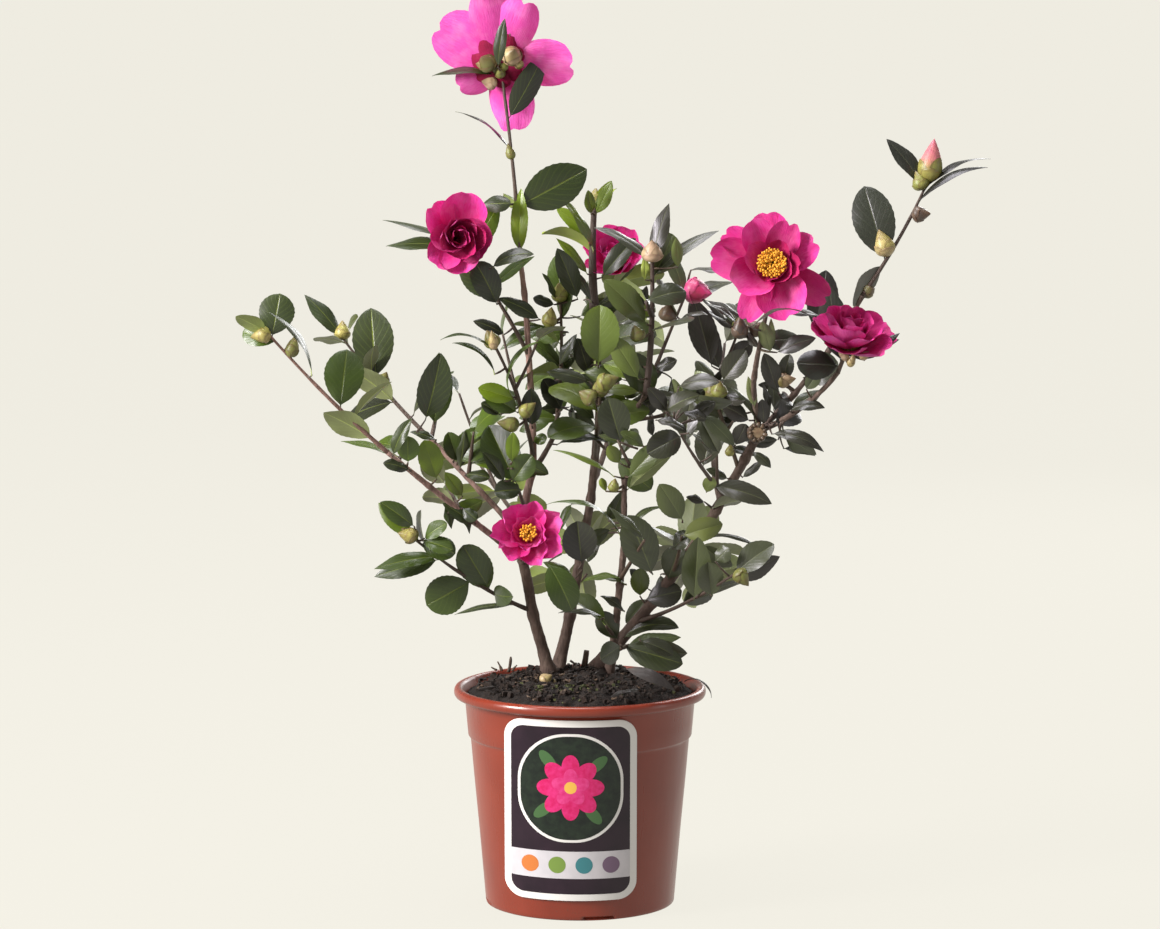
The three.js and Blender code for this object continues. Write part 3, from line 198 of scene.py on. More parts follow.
# Leaves that show in the picture, 1160 by 929 dots: where the root and the tip stand in it, width in dots,
# turn about the midrib from facing the camera (90 bulges to the right of the way it grows, 180 shows the
# underside), curl, how young, and at times how far in front of its twig it starts and its tip leans on (mm)
SHOWN = [
    # left of the tall stem
    (480, 205, 511, 203, 18, -20, 25, 0.05), (492, 268, 534, 254, 20, -46, 80, 0.05),
    (497, 305, 475, 262, 30, 15, 50, 0.05), (541, 320, 498, 298, 18, 40, 40, 0.05),
    (505, 335, 473, 321, 16, 40, 40, 0.0), (548, 325, 500, 350, 17, 28, 50, 0.25),
    (492, 350, 440, 340, 12, 76, 83, 0.2), (495, 375, 452, 343, 12, 76, 90, 0.2),
    (512, 398, 543, 341, 12, -76, 118, 0.3), (515, 400, 478, 388, 20, 20, 30, 0.5),
    (532, 427, 531, 388, 23, 0, 20, 0.05), (425, 421, 441, 353, 36, 10, 35, 0.1),
    (413, 416, 447, 370, 14, -45, 60, 0.0, 9), (555, 300, 542, 273, 10, 60, 50, 0.2),
    (555, 305, 533, 298, 12, 30, 30, 0.05), (312, 376, 266, 311, 18, 78, 70, 0.15, 26, 4),
    (498, 68, 505, 18, 14, -25, 30, 0.1, 22, 6), (818, 335, 826, 270, 32, 0, 20, 0.0, -20, 0),
    (752, 328, 814, 318, 11, -76, 100, 0.0, 36, 4), (772, 350, 771, 318, 8, 0, 15, 0.7, 2, 0),
    (864, 361, 900, 333, 12, -30, 30, 0.1, 2, 0), (704, 300, 745, 320, 9, -60, 40, 0.0, 8, 6),
    (728, 322, 702, 300, 9, 60, 30, 0.0, 6, 6),
    # above the middle
    (602, 278, 636, 238, 22, -25, 35, 0.1), (594, 252, 560, 197, 16, 60, 40, 0.5),
    (588, 275, 556, 238, 14, 40, 30, 0.65), (578, 300, 557, 248, 24, 15, 30, 0.1),
    (592, 303, 564, 262, 14, 50, 40, 0.1), (596, 215, 612, 181, 14, -10, 20, 0.45),
    (591, 215, 588, 190, 12, 20, 20, 0.65), (645, 281, 645, 255, 9, 0, 20, 0.8),
    (678, 268, 676, 238, 13, 15, 30, 0.65), (690, 270, 731, 275, 12, -65, 40, 0.05),
    (647, 325, 604, 280, 30, 20, 40, 0.5), (598, 366, 600, 305, 42, 8, 34, 0.46, 60),
    (639, 380, 611, 336, 24, 10, 30, 0.56, 14), (712, 367, 694, 299, 29, 5, 25, 0.0),
    (680, 320, 708, 315, 12, -75, 70, 0.1), (617, 323, 640, 318, 10, -60, 30, 0.1),
    (655, 370, 677, 360, 14, -30, 30, 0.0), (678, 387, 720, 382, 22, -50, 50, 0.05),
    (590, 382, 546, 372, 16, 40, 40, 0.1), (588, 372, 580, 345, 17, 10, 20, 0.0),
    (559, 366, 577, 334, 13, -35, 30, 0.05), (562, 411, 543, 379, 22, 25, 30, 0.0),
    (597, 306, 622, 297, 13, -30, 40, 0.1), (640, 404, 676, 396, 16, -40, 50, 0.0),
    (668, 412, 648, 388, 18, 20, 30, 0.0), (690, 420, 716, 402, 17, -30, 40, 0.05),
    (683, 412, 706, 420, 15, -50, 40, 0.0), (590, 376, 577, 338, 20, 10, 20, 0.1, -8),
    # inside the left half
    (408, 463, 408, 436, 24, 0, 30, 0.35), (393, 456, 412, 418, 16, -30, 50, 0.1),
    (437, 480, 424, 440, 26, 10, 30, 0.55), (437, 440, 410, 432, 12, 50, 30, 0.05),
    (458, 462, 448, 432, 22, 10, 30, 0.35), (453, 460, 490, 433, 34, -15, 40, 0.35),
    (460, 470, 465, 430, 12, 0, 20, 0.05), (465, 475, 490, 478, 16, -50, 40, 0.05),
    (463, 497, 445, 472, 16, 10, 20, 0.55), (410, 470, 383, 463, 14, 40, 40, 0.05),
    (475, 525, 442, 503, 16, 30, 30, 0.15), (462, 508, 477, 520, 14, -20, 20, 0.1),
    (415, 527, 380, 502, 22, 20, 30, 0.2), (422, 540, 453, 550, 20, -20, 40, 0.25),
    (424, 539, 447, 523, 18, -30, 40, 0.25), (441, 556, 374, 569, 20, 40, 30, 0.2),
    (489, 588, 463, 545, 36, 0, 30, 0.22), (500, 415, 481, 403, 14, 30, 30, 0.05),
    (518, 413, 482, 390, 24, 20, 30, 0.3), (533, 442, 547, 437, 12, -20, 20, 0.4),
    (512, 463, 513, 432, 15, 0, 20, 0.45), (512, 482, 532, 455, 28, -10, 30, 0.3),
    (505, 482, 483, 452, 18, 30, 30, 0.05), (522, 490, 494, 492, 24, 30, 30, 0.05),
    # the middle
    (640, 392, 600, 390, 17, 50, 30, 0.6), (621, 443, 608, 398, 34, 0, 30, 0.15),
    (650, 417, 645, 392, 24, 0, 20, 0.0), (665, 412, 700, 395, 22, -40, 50, 0.05),
    (655, 420, 687, 432, 16, -50, 60, 0.0), (688, 433, 709, 450, 10, -70, 60, 0.1),
    (712, 456, 705, 415, 18, 0, 20, 0.15), (628, 478, 665, 438, 22, -10, 30, 0.45),
    (645, 447, 620, 432, 15, 30, 30, 0.4), (627, 490, 672, 455, 18, -150, 30, 0.3),
    (620, 464, 608, 446, 14, 10, 20, 0.7), (556, 445, 610, 443, 16, -60, 70, 0.05),
    (615, 477, 553, 450, 12, 75, 40, 0.5), (606, 492, 601, 478, 8, 0, 10, 0.7),
    (622, 540, 545, 505, 14, 78, 100, 0.35), (572, 503, 560, 530, 14, 50, 30, 0.35),
    (582, 564, 577, 521, 38, 0, 25, 0.0), (653, 575, 628, 515, 38, 5, 30, 0.2),
    (625, 547, 669, 507, 14, -75, 110, 0.2), (683, 521, 659, 484, 27, 10, 30, 0.5),
    (705, 502, 686, 497, 10, 40, 20, 0.0),
    # low right
    (672, 549, 690, 533, 20, -30, 30, 0.25), (668, 580, 680, 546, 28, -10, 30, 0.2),
    (694, 601, 698, 537, 31, 0, 20, 0.42), (712, 597, 708, 562, 30, 0, 20, 0.4),
    (715, 562, 729, 548, 18, -20, 20, 0.3), (712, 486, 772, 504, 24, -35, 50, 0.1),
    (712, 508, 742, 500, 22, -140, 20, 0.1), (697, 542, 758, 549, 10, -70, 85, 0.1),
    (706, 493, 712, 477, 14, 0, 20, 0.7), (640, 597, 640, 568, 20, 0, 20, 0.5),
    (645, 600, 682, 591, 27, -20, 40, 0.05), (627, 585, 592, 580, 14, 70, 60, 0.35),
    (625, 612, 600, 596, 12, 60, 50, 0.05), (618, 640, 599, 612, 22, 0, 20, 0.15),
    (622, 640, 679, 628, 26, -60, 85, 0.1), (622, 646, 683, 664, 32, -15, 30, 0.15),
    (640, 641, 673, 655, 20, -40, 40, 0.1),
    # low left and under the middle
    (547, 562, 572, 611, 33, -20, 40, 0.3), (575, 579, 543, 562, 14, 40, 40, 0.4),
    (580, 583, 620, 578, 12, -70, 60, 0.4), (605, 618, 558, 613, 12, 75, 50, 0.05),
    # right
    (722, 382, 746, 350, 26, -10, 20, 0.1), (738, 325, 706, 304, 12, 60, 50, 0.05),
    (746, 332, 757, 347, 10, -30, 20, 0.05), (771, 353, 762, 321, 16, 0, 20, 0.75),
    (776, 353, 816, 338, 18, -35, 40, 0.05), (778, 393, 764, 353, 20, 10, 20, 0.05),
    (783, 381, 790, 354, 17, -10, 40, 0.15), (803, 378, 838, 362, 36, -10, 30, 0.3),
    (806, 390, 818, 372, 16, 0, 20, 0.45), (790, 411, 825, 408, 15, -50, 80, 0.05),
    (771, 434, 824, 452, 18, -40, 80, 0.05), (764, 425, 762, 399, 15, 0, 20, 0.05),
    (771, 412, 762, 382, 8, 30, 30, 0.1), (755, 408, 748, 376, 11, 0, 15, 0.75),
    (757, 425, 728, 386, 9, 60, 60, 0.3), (750, 421, 722, 405, 20, 30, 30, 0.0),
    (722, 397, 745, 401, 16, -40, 40, 0.0), (700, 418, 718, 452, 20, -10, 20, 0.25),
    (702, 414, 735, 446, 17, -20, 40, 0.35), (735, 446, 746, 424, 18, 0, 20, 0.05),
    (752, 452, 771, 468, 12, -40, 60, 0.2), (742, 478, 763, 461, 9, -30, 20, 0.1),
    (728, 479, 706, 469, 13, 40, 40, 0.3),
]
# Buds that show in the picture: middle, length and width in dots, lean from upright to the right, tone
SHOWN_BUDS = [
    (493, 340, 21, 10, -8, 0.1), (550, 317, 22, 15, 10, 0.2), (652, 251, 23, 21, 0, 0.0),
    (608, 381, 24, 18, 70, 0.3), (587, 396, 20, 17, -60, 0.4), (668, 312, 20, 18, 10, 0.7),
    (637, 333, 18, 15, -20, 0.4), (528, 409, 22, 14, 50, 0.3), (508, 424, 24, 15, -80, 0.38),
    (407, 535, 20, 15, -75, 0.15), (719, 389, 19, 17, 0, 0.35), (786, 380, 21, 15, 80, 0.05),
    (730, 450, 14, 9, 10, 0.2), (614, 485, 15, 11, 10, 0.3), (740, 327, 25, 17, 0, 0.8),
    (843, 355, 16, 8, -50, 0.0), (852, 360, 16, 8, 20, 0.05), (866, 355, 15, 8, 60, 0.0),
]
# Blooms in the picture that no seeded leaf covers: middle, and the reach round it in dots
IN_VIEW = [(499, 66, 62), (459, 231, 40), (528, 534, 52), (771, 264, 66), (849, 330, 52), (620, 252, 32),
           (694, 283, 24), (627, 521, 15), (601, 336, 20), (571, 322, 16)]
# Places in the picture where the sky shows through the crown: left, top, right, bottom
SKY = [
    (447, 300, 482, 400), (560, 458, 592, 500), (640, 450, 700, 484), (690, 300, 735, 345),
    (725, 338, 762, 375), (560, 615, 600, 660), (430, 615, 535, 665), (688, 603, 790, 650),
    (775, 462, 850, 540), (655, 602, 700, 618), (655, 505, 682, 530), (480, 605, 545, 640),
    (770, 412, 830, 430), (586, 552, 620, 612), (548, 445, 600, 500), (497, 258, 518, 298),
    (528, 258, 553, 318), (672, 428, 696, 470), (704, 452, 726, 472), (600, 520, 618, 544),
    (700, 590, 745, 616), (432, 400, 456, 424),
]

# Parts of the picture where the crown is dense, and how many small dark leaves fill each from inside
DENSE = [
    ((548, 305, 600, 420), 32), ((560, 295, 640, 450), 44), ((630, 372, 735, 450), 34),
    ((600, 450, 700, 560), 10), ((640, 540, 720, 600), 8), ((440, 430, 520, 520), 14),
    ((725, 380, 800, 450), 14),
]

# How young the leaves of a spray are, from 0 for dark to 1 for yellow-green
YOUTH = {
    "middle_top": 0.75, "half_bloom": 0.5, "centre_front": 0.42, "inner_top": 0.42, "middle_front": 0.4,
    "top_bloom": 0.3, "left_low_tip": 0.35, "right_tall": 0.1, "right_low": 0.15, "right_dark": 0.05,
    "right_upper": 0.5, "centre_right": 0.35, "right_inner": 0.6, "thin_side": 0.4, "big_bloom": 0.15,
    "second_bloom": 0.2, "right_side": 0.15, "low_left": 0.15,
}
USUAL_YOUTH = 0.22


def clamp(value):
    return min(1.0, max(0.0, value))


# Vectors and the rule of growth


def unit(v):
    v = np.asarray(v, float)
    return v / max(np.linalg.norm(v), 1e-9)


def random(seed, step):
    value = math.sin(seed * 12.9898 + step * 78.233) * 43758.5453
    return value - math.floor(value)


def swung(first, second, angle):
    """A vector swung towards another, square to it, by an angle or by each angle of an array."""
    angle = np.asarray(angle)[..., None]
    return np.cos(angle) * first + np.sin(angle) * second


def direction(azimuth, rise):
    a, r = math.radians(azimuth), math.radians(rise)
    return np.array([math.cos(r) * math.cos(a), math.cos(r) * math.sin(a), math.sin(r)])


def sideways(along, spin=0.0):
    across = unit(np.cross(along, (0, 0, 1) if abs(along[2]) < 0.9 else (1, 0, 0)))
    return swung(across, np.cross(along, across), spin)


def square_to(face, along):
    return unit(face - along * np.dot(face, along))


def rotate(v, axis, angle):
    return swung(v, np.cross(axis, v), angle) + axis * np.dot(axis, v) * (1 - math.cos(angle))


class Route:
    """A limb's or twig's middle line."""

    def __init__(self, start, tip, bow):
        self.a, self.c = np.array(start, float), np.array(tip, float)
        self.b = (self.a + self.c) / 2 + np.array(bow, float)

    def point(self, t):
        """The point at a share of the length, or the points at a column of shares."""
        return self.a * (1 - t) ** 2 + self.b * 2 * t * (1 - t) + self.c * t * t

    def along(self, t):
        return unit((self.b - self.a) * (1 - t) + (self.c - self.b) * t)

    def span(self):
        return float(np.linalg.norm(self.c - self.a))


def leaves_along(route, count, seed, first, size):
    leaves = []
    phase = 2 * math.pi * random(seed, 1)
    for i in range(count):
        r = [random(seed, 10 * i + 2 + k) for k in range(8)]
        order = clamp((i + 0.35 * (r[0] - 0.5)) / max(count - 1, 1))
        share = first + (0.98 - first) * order ** 0.8
        root, twig = route.point(share), route.along(share)
        outward = sideways(twig, phase + i * GOLDEN + 0.9 * (r[1] - 0.5))
        opening = math.radians(74 - 40 * order + 22 * (r[2] - 0.5))
        along = unit(swung(twig, outward, opening) + np.array([0, 0, 0.12]))
        away = unit((root - np.array([0, 30, 0])) * np.array([1, 1, 0]))
        face = square_to(twig * 0.5 + np.array([0, 0, 0.45]) + away * 0.4, along)
        length = size * 48 * (0.78 + 0.36 * r[4]) * (1 - 0.22 * order)
        leaves.append(dict(root=root, along=along, face=rotate(face, along, math.radians(110) * (r[3] - 0.5)),
                           length=length, width=length * 0.58 * (0.88 + 0.24 * r[5]),
                           curl=math.radians(18 + 46 * r[7]), share=share))
    return leaves


def edge_leaf(route, share, azimuth, rise, length, width, turn, curl=25):
    along = direction(azimuth, rise)
    face = rotate(square_to(np.array([0, -1.0, 0]), along), along, math.radians(turn))
    return dict(root=route.point(share), along=along, face=face, length=length, width=width,
                curl=math.radians(curl), fold=10)


def grow(route, leaves, twigs, size, seed):
    shoots = [(route, (2.5, 1.7), leaves_along(route, leaves, seed, 0.3, size))]
    for j in range(twigs):
        r = [random(seed, 400 + 10 * j + k) for k in range(4)]
        share = 0.12 + 0.62 * (j + r[0]) / twigs
        start, twig = route.point(share), route.along(share)
        outward = sideways(twig, 2 * math.pi * r[1] + j * GOLDEN)
        along = unit(twig * 0.62 + outward * 0.78 + np.array([0, 0, 0.15]))
        reach = max(26, route.span() * (0.42 + 0.22 * r[2]))
        side = Route(start, start + along * reach, (0, 0, -0.1 * reach))
        count = 3 + math.floor(2 * r[3])
        shoots.append((side, (2, 1.7), leaves_along(side, count, seed + 17 * (j + 1), 0.42, size * 0.94)))
    return shoots


# Meshes from arrays


class Pile:
    """Collects points, four-cornered faces, places on the surface and tones, and makes one mesh of them."""

    def __init__(self):
        self.rows, self.count = [], 0

    def add(self, points, faces, places=None, tone=(0.5, 0.5, 0.5)):
        points = np.asarray(points, float).reshape(-1, 3)
        places = np.zeros((len(points), 2)) if places is None else places.reshape(-1, 2)
        tones = np.tile([*tone, 1.0], (len(points), 1))
        self.rows.append((points, np.asarray(faces) + self.count, places, tones))
        self.count += len(points)

    def mesh(self, name, material, slot, nodes=(), smooth=True):
        points, faces, places, tones = (np.vstack(rows) for rows in zip(*self.rows))
        data = bpy.data.meshes.new(name)
        data.vertices.add(len(points))
        data.vertices.foreach_set("co", (points * MM).ravel())
        data.loops.add(faces.size)
        data.loops.foreach_set("vertex_index", faces.ravel())
        data.polygons.add(len(faces))
        data.polygons.foreach_set("loop_start", np.arange(0, faces.size, 4))
        data.update(calc_edges=True)
        data.validate()
        loops = np.zeros(len(data.loops), int)
        data.loops.foreach_get("vertex_index", loops)
        data.uv_layers.new(name="place").data.foreach_set("uv", places[loops].ravel())
        data.color_attributes.new("tone", "FLOAT_COLOR", "POINT").data.foreach_set("color", tones.ravel())
        data.polygons.foreach_set("use_smooth", np.full(len(data.polygons), smooth))
        data.materials.append(material)
        piece = bpy.data.objects.new(name, data)
        bpy.context.scene.collection.objects.link(piece)
        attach(piece, "root")
        if nodes:
            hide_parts(*nodes)


def grid(*numbers):
    """Rows and columns of numbers joined point by point."""
    return np.stack(np.broadcast_arrays(*numbers), -1)


def grid_faces(rows, columns, flip=False, closed=False):
    """Faces of a grid of points, rows by columns, joined round if closed."""
    i, j = np.meshgrid(np.arange(rows - 1), np.arange(columns if closed else columns - 1), indexing="ij")
    corners = [i * columns + j, i * columns + (j + 1) % columns]
    corners += [corners[1] + columns, corners[0] + columns]
    quad = np.stack(corners, -1).reshape(-1, 4)
    return quad[:, [2, 1, 0, 3]] if flip else quad


def tube(pile, centres, radii, sides, tone, rough=0, seed=0):
    """A round limb along centres, closed at its ends, with relief of size rough."""
    centres = np.asarray(centres, float)
    tangents = np.gradient(centres, axis=0)
    across = sideways(unit(tangents[0]))
    angles = np.arange(sides) * 2 * math.pi / sides
    rings = [np.tile(centres[0], (sides, 1))]
    for i, (centre, tangent, radius) in enumerate(zip(centres, tangents, radii)):
        t = unit(tangent)
        across = square_to(across, t)
        if rough:
            ridges = np.sin(3 * angles + 0.21 * i + seed) + 0.7 * np.sin(7 * angles - 0.33 * i + 2 * seed)
            knots = 0.9 * max(0, math.sin(0.37 * i + seed)) ** 12
            radius = radius + rough * (0.5 * ridges + 2.2 * knots + 0.9 * (random(seed + 3, i) - 0.5))[:, None]
        rings.append(centre + radius * swung(across, np.cross(t, across), angles))
    rings.append(np.tile(centres[-1], (sides, 1)))
    places = grid(np.arange(sides) / sides, np.linspace(0, 1, len(rings))[:, None])
    pile.add(rings, grid_faces(len(rings), sides, closed=True), places, tone)


def bent(root, along, face, length, curl, reach):
    """Where a blade that curls away from its face stands at each share of its length, and its normal there."""
    turn = np.asarray(curl * reach)[..., None]
    middle = root + length / curl * (np.sin(turn) * along - (1 - np.cos(turn)) * face)
    return middle, np.sin(turn) * along + np.cos(turn) * face


def add_blade(fronts, backs, surface, up, thick, c, s, tone):
    """Both sides of a leaf or petal: c runs from -1 to 1 across it and s from 0 to 1 along it."""
    places = grid(c * 0.5 + 0.5, s)
    fronts.add(surface, grid_faces(s.size, c.size, flip=True), places, tone)
    backs.add(surface - thick[..., None] * up, grid_faces(s.size, c.size), places, tone)


LEAF_S = np.concatenate([[0, 0.04, 0.07], np.linspace(0.1, 0.96, 20), [1.0]])[:, None]
LEAF_C = np.array([[-1, -0.72, -0.4, -0.1, 0, 0.1, 0.4, 0.72, 1]])
TEETH = 1 + 0.03 * (np.arange(LEAF_S.size) % 2)[:, None] * (np.abs(LEAF_C) > 0.99)


def leaf_width(s, blunt):
    """Share of the full width along a leaf: a stalk, then an ellipse with a blunt or a drawn-out tip."""
    blade = np.clip((s - 0.08) / 0.92, 0, 1)
    near, far = 0.74, 1.0 - 0.4 * blunt
    widest = near / (near + far)
    shape = blade ** near * (1 - blade) ** far
    return np.maximum(shape / (widest ** near * (1 - widest) ** far), 0.035 * (1 - s))


def add_leaf(fronts, backs, leaf, tone, seed):
    length, width, s, c = leaf["length"], leaf["width"], LEAF_S, LEAF_C
    r = [random(seed, 700 + k) for k in range(6)]
    fold = math.radians(4 + leaf.get("fold", 24) * r[0])
    middle, normal = bent(leaf["root"], leaf["along"], leaf["face"], length, leaf["curl"], s)
    across = np.cross(leaf["face"], leaf["along"])
    roll = math.radians(26) * (r[1] - 0.5) * s
    side, up = swung(across, normal, roll), swung(normal, -across, roll)
    half = 0.5 * width * leaf_width(s, clamp(3 * width / length - 0.9 + 0.5 * (r[5] - 0.5))) * TEETH
    wave = (0.3 + 0.8 * r[2]) * np.sin(2 * math.pi * (1.6 * s + r[3]) + np.sign(c) * 0.9) * c ** 2
    bulge = (0.9 + 1.6 * r[4]) * 2 * half / max(width, 1) * c ** 2
    lift = np.abs(c) * half * math.sin(fold) - bulge + wave * np.sin(math.pi * s)
    surface = middle + (c * half * math.cos(fold))[..., None] * side + lift[..., None] * up
    thick = 0.28 * (1 - np.abs(c) ** 3) + 0.5 * (np.abs(c) < 0.05) * (1 - s) + 0.02
    add_blade(fronts, backs, surface, up, thick, c, s, tone)


PETAL_S = np.linspace(0, 1, 10)[:, None]
PETAL_C = np.linspace(-1, 1, 9)[None, :]


def add_petal(centre, axis, outward, petal, tone, seed, twist):
    length, width, opening, curl, cup, ruffle = petal
    s, c, r = PETAL_S, PETAL_C, [random(seed, k) for k in range(7)]
    opening = math.radians(opening + 9 * (r[2] - 0.5))
    along = swung(axis, outward, opening)
    face = rotate(swung(-outward, axis, opening), along, math.radians(twist))
    length, width = length * (0.93 + 0.12 * r[3]), width * (0.94 + 0.12 * r[4])
    end = 1 - 0.13 * np.abs(c) ** 2.4 - 0.055 * np.exp(-(c / 0.2) ** 2) * (0.5 + r[5])
    middle, normal = bent(centre, along, face, length, math.radians(curl) or 0.01, s * end)
    open_out = np.sin(np.clip(s / 0.72, 0, 1) * math.pi / 2) ** 0.8
    rounded = np.sqrt(1 - (np.clip((s - 0.68) / 0.32, 0, 1) * 0.62) ** 2)
    half = 0.5 * width * (0.2 + 0.8 * open_out) * rounded
    bend = cup * 1.5
    aside, lift = np.sin(bend * c) / bend * half, (1 - np.cos(bend * c)) / bend * half
    phase = 2 * math.pi * r[6]
    wave = ruffle * s ** 3 * (0.6 * np.sin(4.2 * c + phase) + 0.4 * np.sin(8 * c + 2 * phase))
    surface = middle + aside[..., None] * np.cross(face, along) + (lift + wave)[..., None] * normal
    thick = 0.35 * (1 - np.abs(c) ** 3) * (1 - 0.6 * s) + 0.02
    add_blade(petals, petal_backs, surface, normal, thick, c, s, tone)


def bud_width(h):
    """How wide a bud is at each share of its height."""
    return np.sin(math.pi * h ** 0.72) ** 0.8 * (1 - 0.3 * h)


BUD_WIDEST = bud_width(np.linspace(0, 1, 200)).max()


def add_bud(pile, root, along, length, radius, tone, seed, scales=7):
    """A pointed bud of overlapping scales round an egg."""
    across = sideways(along, seed)
    other = np.cross(along, across)

    def skin(heights, size, angles):
        shell = radius * size * bud_width(heights) / BUD_WIDEST
        return root + (heights * length)[..., None] * along + shell[..., None] * swung(across, other, angles)

    heights, angles = np.linspace(0, 1, 15)[:, None], np.arange(16) * math.pi / 8
    pile.add(skin(heights, 0.95, angles), grid_faces(15, 16, closed=True), grid(np.full(16, 0.5), heights),
             (*tone, 0.3))
    t, c = np.linspace(0, 1, 9)[:, None], np.linspace(-1, 1, 7)[None, :]
    for k in range(scales):
        order = k / scales
        start, end = 0.01 + 0.3 * order, 0.34 + 0.6 * order
        spread = 1.15 * np.sqrt(1 - t ** 2.6) + 0.02
        hug = 1.02 - 0.035 * c ** 2 - 0.02 * t ** 3 + 0.05 * (t > 0.85)
        size = (0.97 + 0.11 * (1 - order)) * hug
        points = skin(start + (end - start) * t, size, k * GOLDEN + seed + c * spread)
        shade = min(0.8, clamp(tone[0] + 0.12 * (random(seed, 20 + k) - 0.5)))
        # A pink bud is painted pale at its root and darker towards its tip: a painted highlight on its lit side
        # and painted shade on the other
        if tone[0] > 0.9:
            shade = tone[0] - 0.08 * order
        tones = (shade, tone[1] * (k >= scales - 2), random(seed, k))
        pile.add(points, grid_faces(9, 7), grid(c * 0.5 + 0.5, t), tones)


# Materials


def rgb(colour):
    """A colour given as on a screen, such as #b35233."""
    parts = (int(colour[i:i + 2], 16) / 255 for i in (1, 3, 5))
    return tuple(((part + 0.055) / 1.055) ** 2.4 for part in parts) + (1,)


def maths(operation):
    def joined(first, second=0.0):
        return first.nodes.node("Math", {0: first, 1: second}, operation=operation)
    return joined


class Signal:
    """What a node gives out. Plain sums with it add Math nodes."""

    __add__, __sub__, __mul__ = maths("ADD"), maths("SUBTRACT"), maths("MULTIPLY")
    __abs__, larger, zigzag = maths("ABSOLUTE"), maths("MAXIMUM"), maths("PINGPONG")

    def __init__(self, nodes, socket):
        self.nodes, self.socket = nodes, socket

    def part(self, index):
        return self.nodes.node("SeparateXYZ", {0: self}, out=index)

    def spread(self, low, high, to_low=0.0, to_high=1.0):
        return self.nodes.node("MapRange", {0: self, 1: low, 2: high, 3: to_low, 4: to_high})

    def mix(self, factor, other, blend="MIX"):
        return self.nodes.mix(factor, self, other, blend)

    def shaded(self, shade):
        return self.mix(1.0, self.nodes.node("CombineColor", {0: shade, 1: shade, 2: shade}), "MULTIPLY")

    def ramp(self, *stops):
        node = self.nodes.tree.nodes.new("ShaderNodeValToRGB")
        self.nodes.put(node.inputs[0], self)
        elements = node.color_ramp.elements
        while len(elements) < len(stops):
            elements.new(0.5)
        for element, (place, colour) in zip(elements, stops):
            element.position, element.color = place, rgb(colour)
        return Signal(self.nodes, node.outputs[0])


class Nodes:
    """Short ways to add to a tree of nodes."""

    def __init__(self, tree):
        self.tree = tree

    def put(self, socket, value):
        if isinstance(value, Signal):
            self.tree.links.new(value.socket, socket)
        else:
            socket.default_value = rgb(value) if isinstance(value, str) else value

    def node(self, kind, inputs=(), out=0, **settings):
        node = self.tree.nodes.new("ShaderNode" + kind)
        for key, value in settings.items():
            setattr(node, key, value)
        for key, value in dict(inputs).items():
            self.put(node.inputs[key], value)
        return Signal(self, node.outputs[out])

    def mix(self, factor, first, second, blend="MIX"):
        return self.node("Mix", {0: factor, 6: first, 7: second}, out=2, data_type="RGBA", blend_type=blend)

    def where(self, stretch=None):
        where = self.node("TexCoord", out="Object")
        return self.node("Mapping", {0: where, 3: (1, 1, stretch)}) if stretch else where

    def place(self):
        return self.node("UVMap", uv_map="place")

    def tone(self, index):
        return self.node("SeparateColor", {0: self.node("Attribute", attribute_name="tone")}, out=index)

    def noise(self, scale, detail=3, where=None, rough=0.55):
        return self.node("TexNoise", {"Vector": where or self.where(), "Scale": scale, "Detail": detail,
                                      "Roughness": rough})


class Look(Nodes):
    """A material."""

    def __init__(self, name, roughness, **sockets):
        self.material = bpy.data.materials.new(name)
        self.material.use_nodes = True
        super().__init__(self.material.node_tree)
        self.shader = self.tree.nodes["Principled BSDF"]
        self.set(Roughness=roughness, **sockets)

    def set(self, **sockets):
        for name, value in sockets.items():
            self.put(self.shader.inputs[name.replace("_", " ")], value)

    def bump(self, height, distance, strength=1.0):
        self.set(Normal=self.node("Bump", {"Height": height, "Distance": distance, "Strength": strength}))


def leaf_look(name, under):
    look = Look(name, 0.34)
    place, young, side = look.place(), look.tone(0), look.tone(2)
    v, off = place.part(1), abs(place.part(0) - 0.5)
    rib = off.spread(0.01, 0.03, 1, 0)
    vein = (v * 8 - off * 6).zigzag(0.5).spread(0, 0.14, 1, 0)
    patch, fine = look.noise(38, 1), look.noise(420, 2)
    if under:
        colour = young.ramp((0, "#6a6a5e"), (0.15, "#666a4c"), (0.35, "#6a7442"),
                            (0.65, "#7a8842"), (1, "#96a044"))
        colour = colour.mix(patch.spread(0.3, 0.75, 0, 0.3), "#7e8464")
        colour = colour.mix(vein * 0.12, "#929c6e").mix(rib * 0.6, "#a0aa6c")
        look.set(Roughness=fine.spread(0.3, 0.7, 0.4, 0.55))
    else:
        colour = young.ramp((0, "#181a11"), (0.15, "#212914"), (0.35, "#323f18"),
                            (0.65, "#5c6c1c"), (1, "#929c32"))
        colour = colour.mix(patch.spread(0.35, 0.7, 0, 0.3), "#2a3018")
        colour = colour.mix(vein * 0.1, "#586432").mix(rib * 0.24, "#747e3c")
        colour = colour.shaded(look.tone(1).spread(0, 1, 0.62, 1.3))
        look.set(Roughness=fine.spread(0.3, 0.7, 0.3, 0.4), Specular_IOR_Level=0.5,
                 Specular_Tint="#eee8f6", Coat_Weight=0.12, Coat_Roughness=0.28)
    # Painted light by where a spray stands: leaves on the left are painted lighter and greener, as if in the
    # key light, those on the right get painted shade and a grey-brown painted sheen, and those farthest right
    # are painted darkest
    far = side.spread(0.82, 1, 1, 0.35)
    colour = colour.mix(side.spread(0.5, 0.85, 0, 0.28) * far, "#4a423a")
    light = side.spread(0.25, 0.52, 2.1, 1.5) * far.spread(0.35, 1, 0.62, 1)
    look.set(Base_Color=look.node("HueSaturation", {
        "Saturation": side.spread(0.48, 1, 1.15, 0.62), "Value": light, "Color": colour}))
    look.bump(rib * -0.7 + vein * -0.16 + patch * 0.9, -0.0005 if under else 0.0006, 0.5)
    return look.material


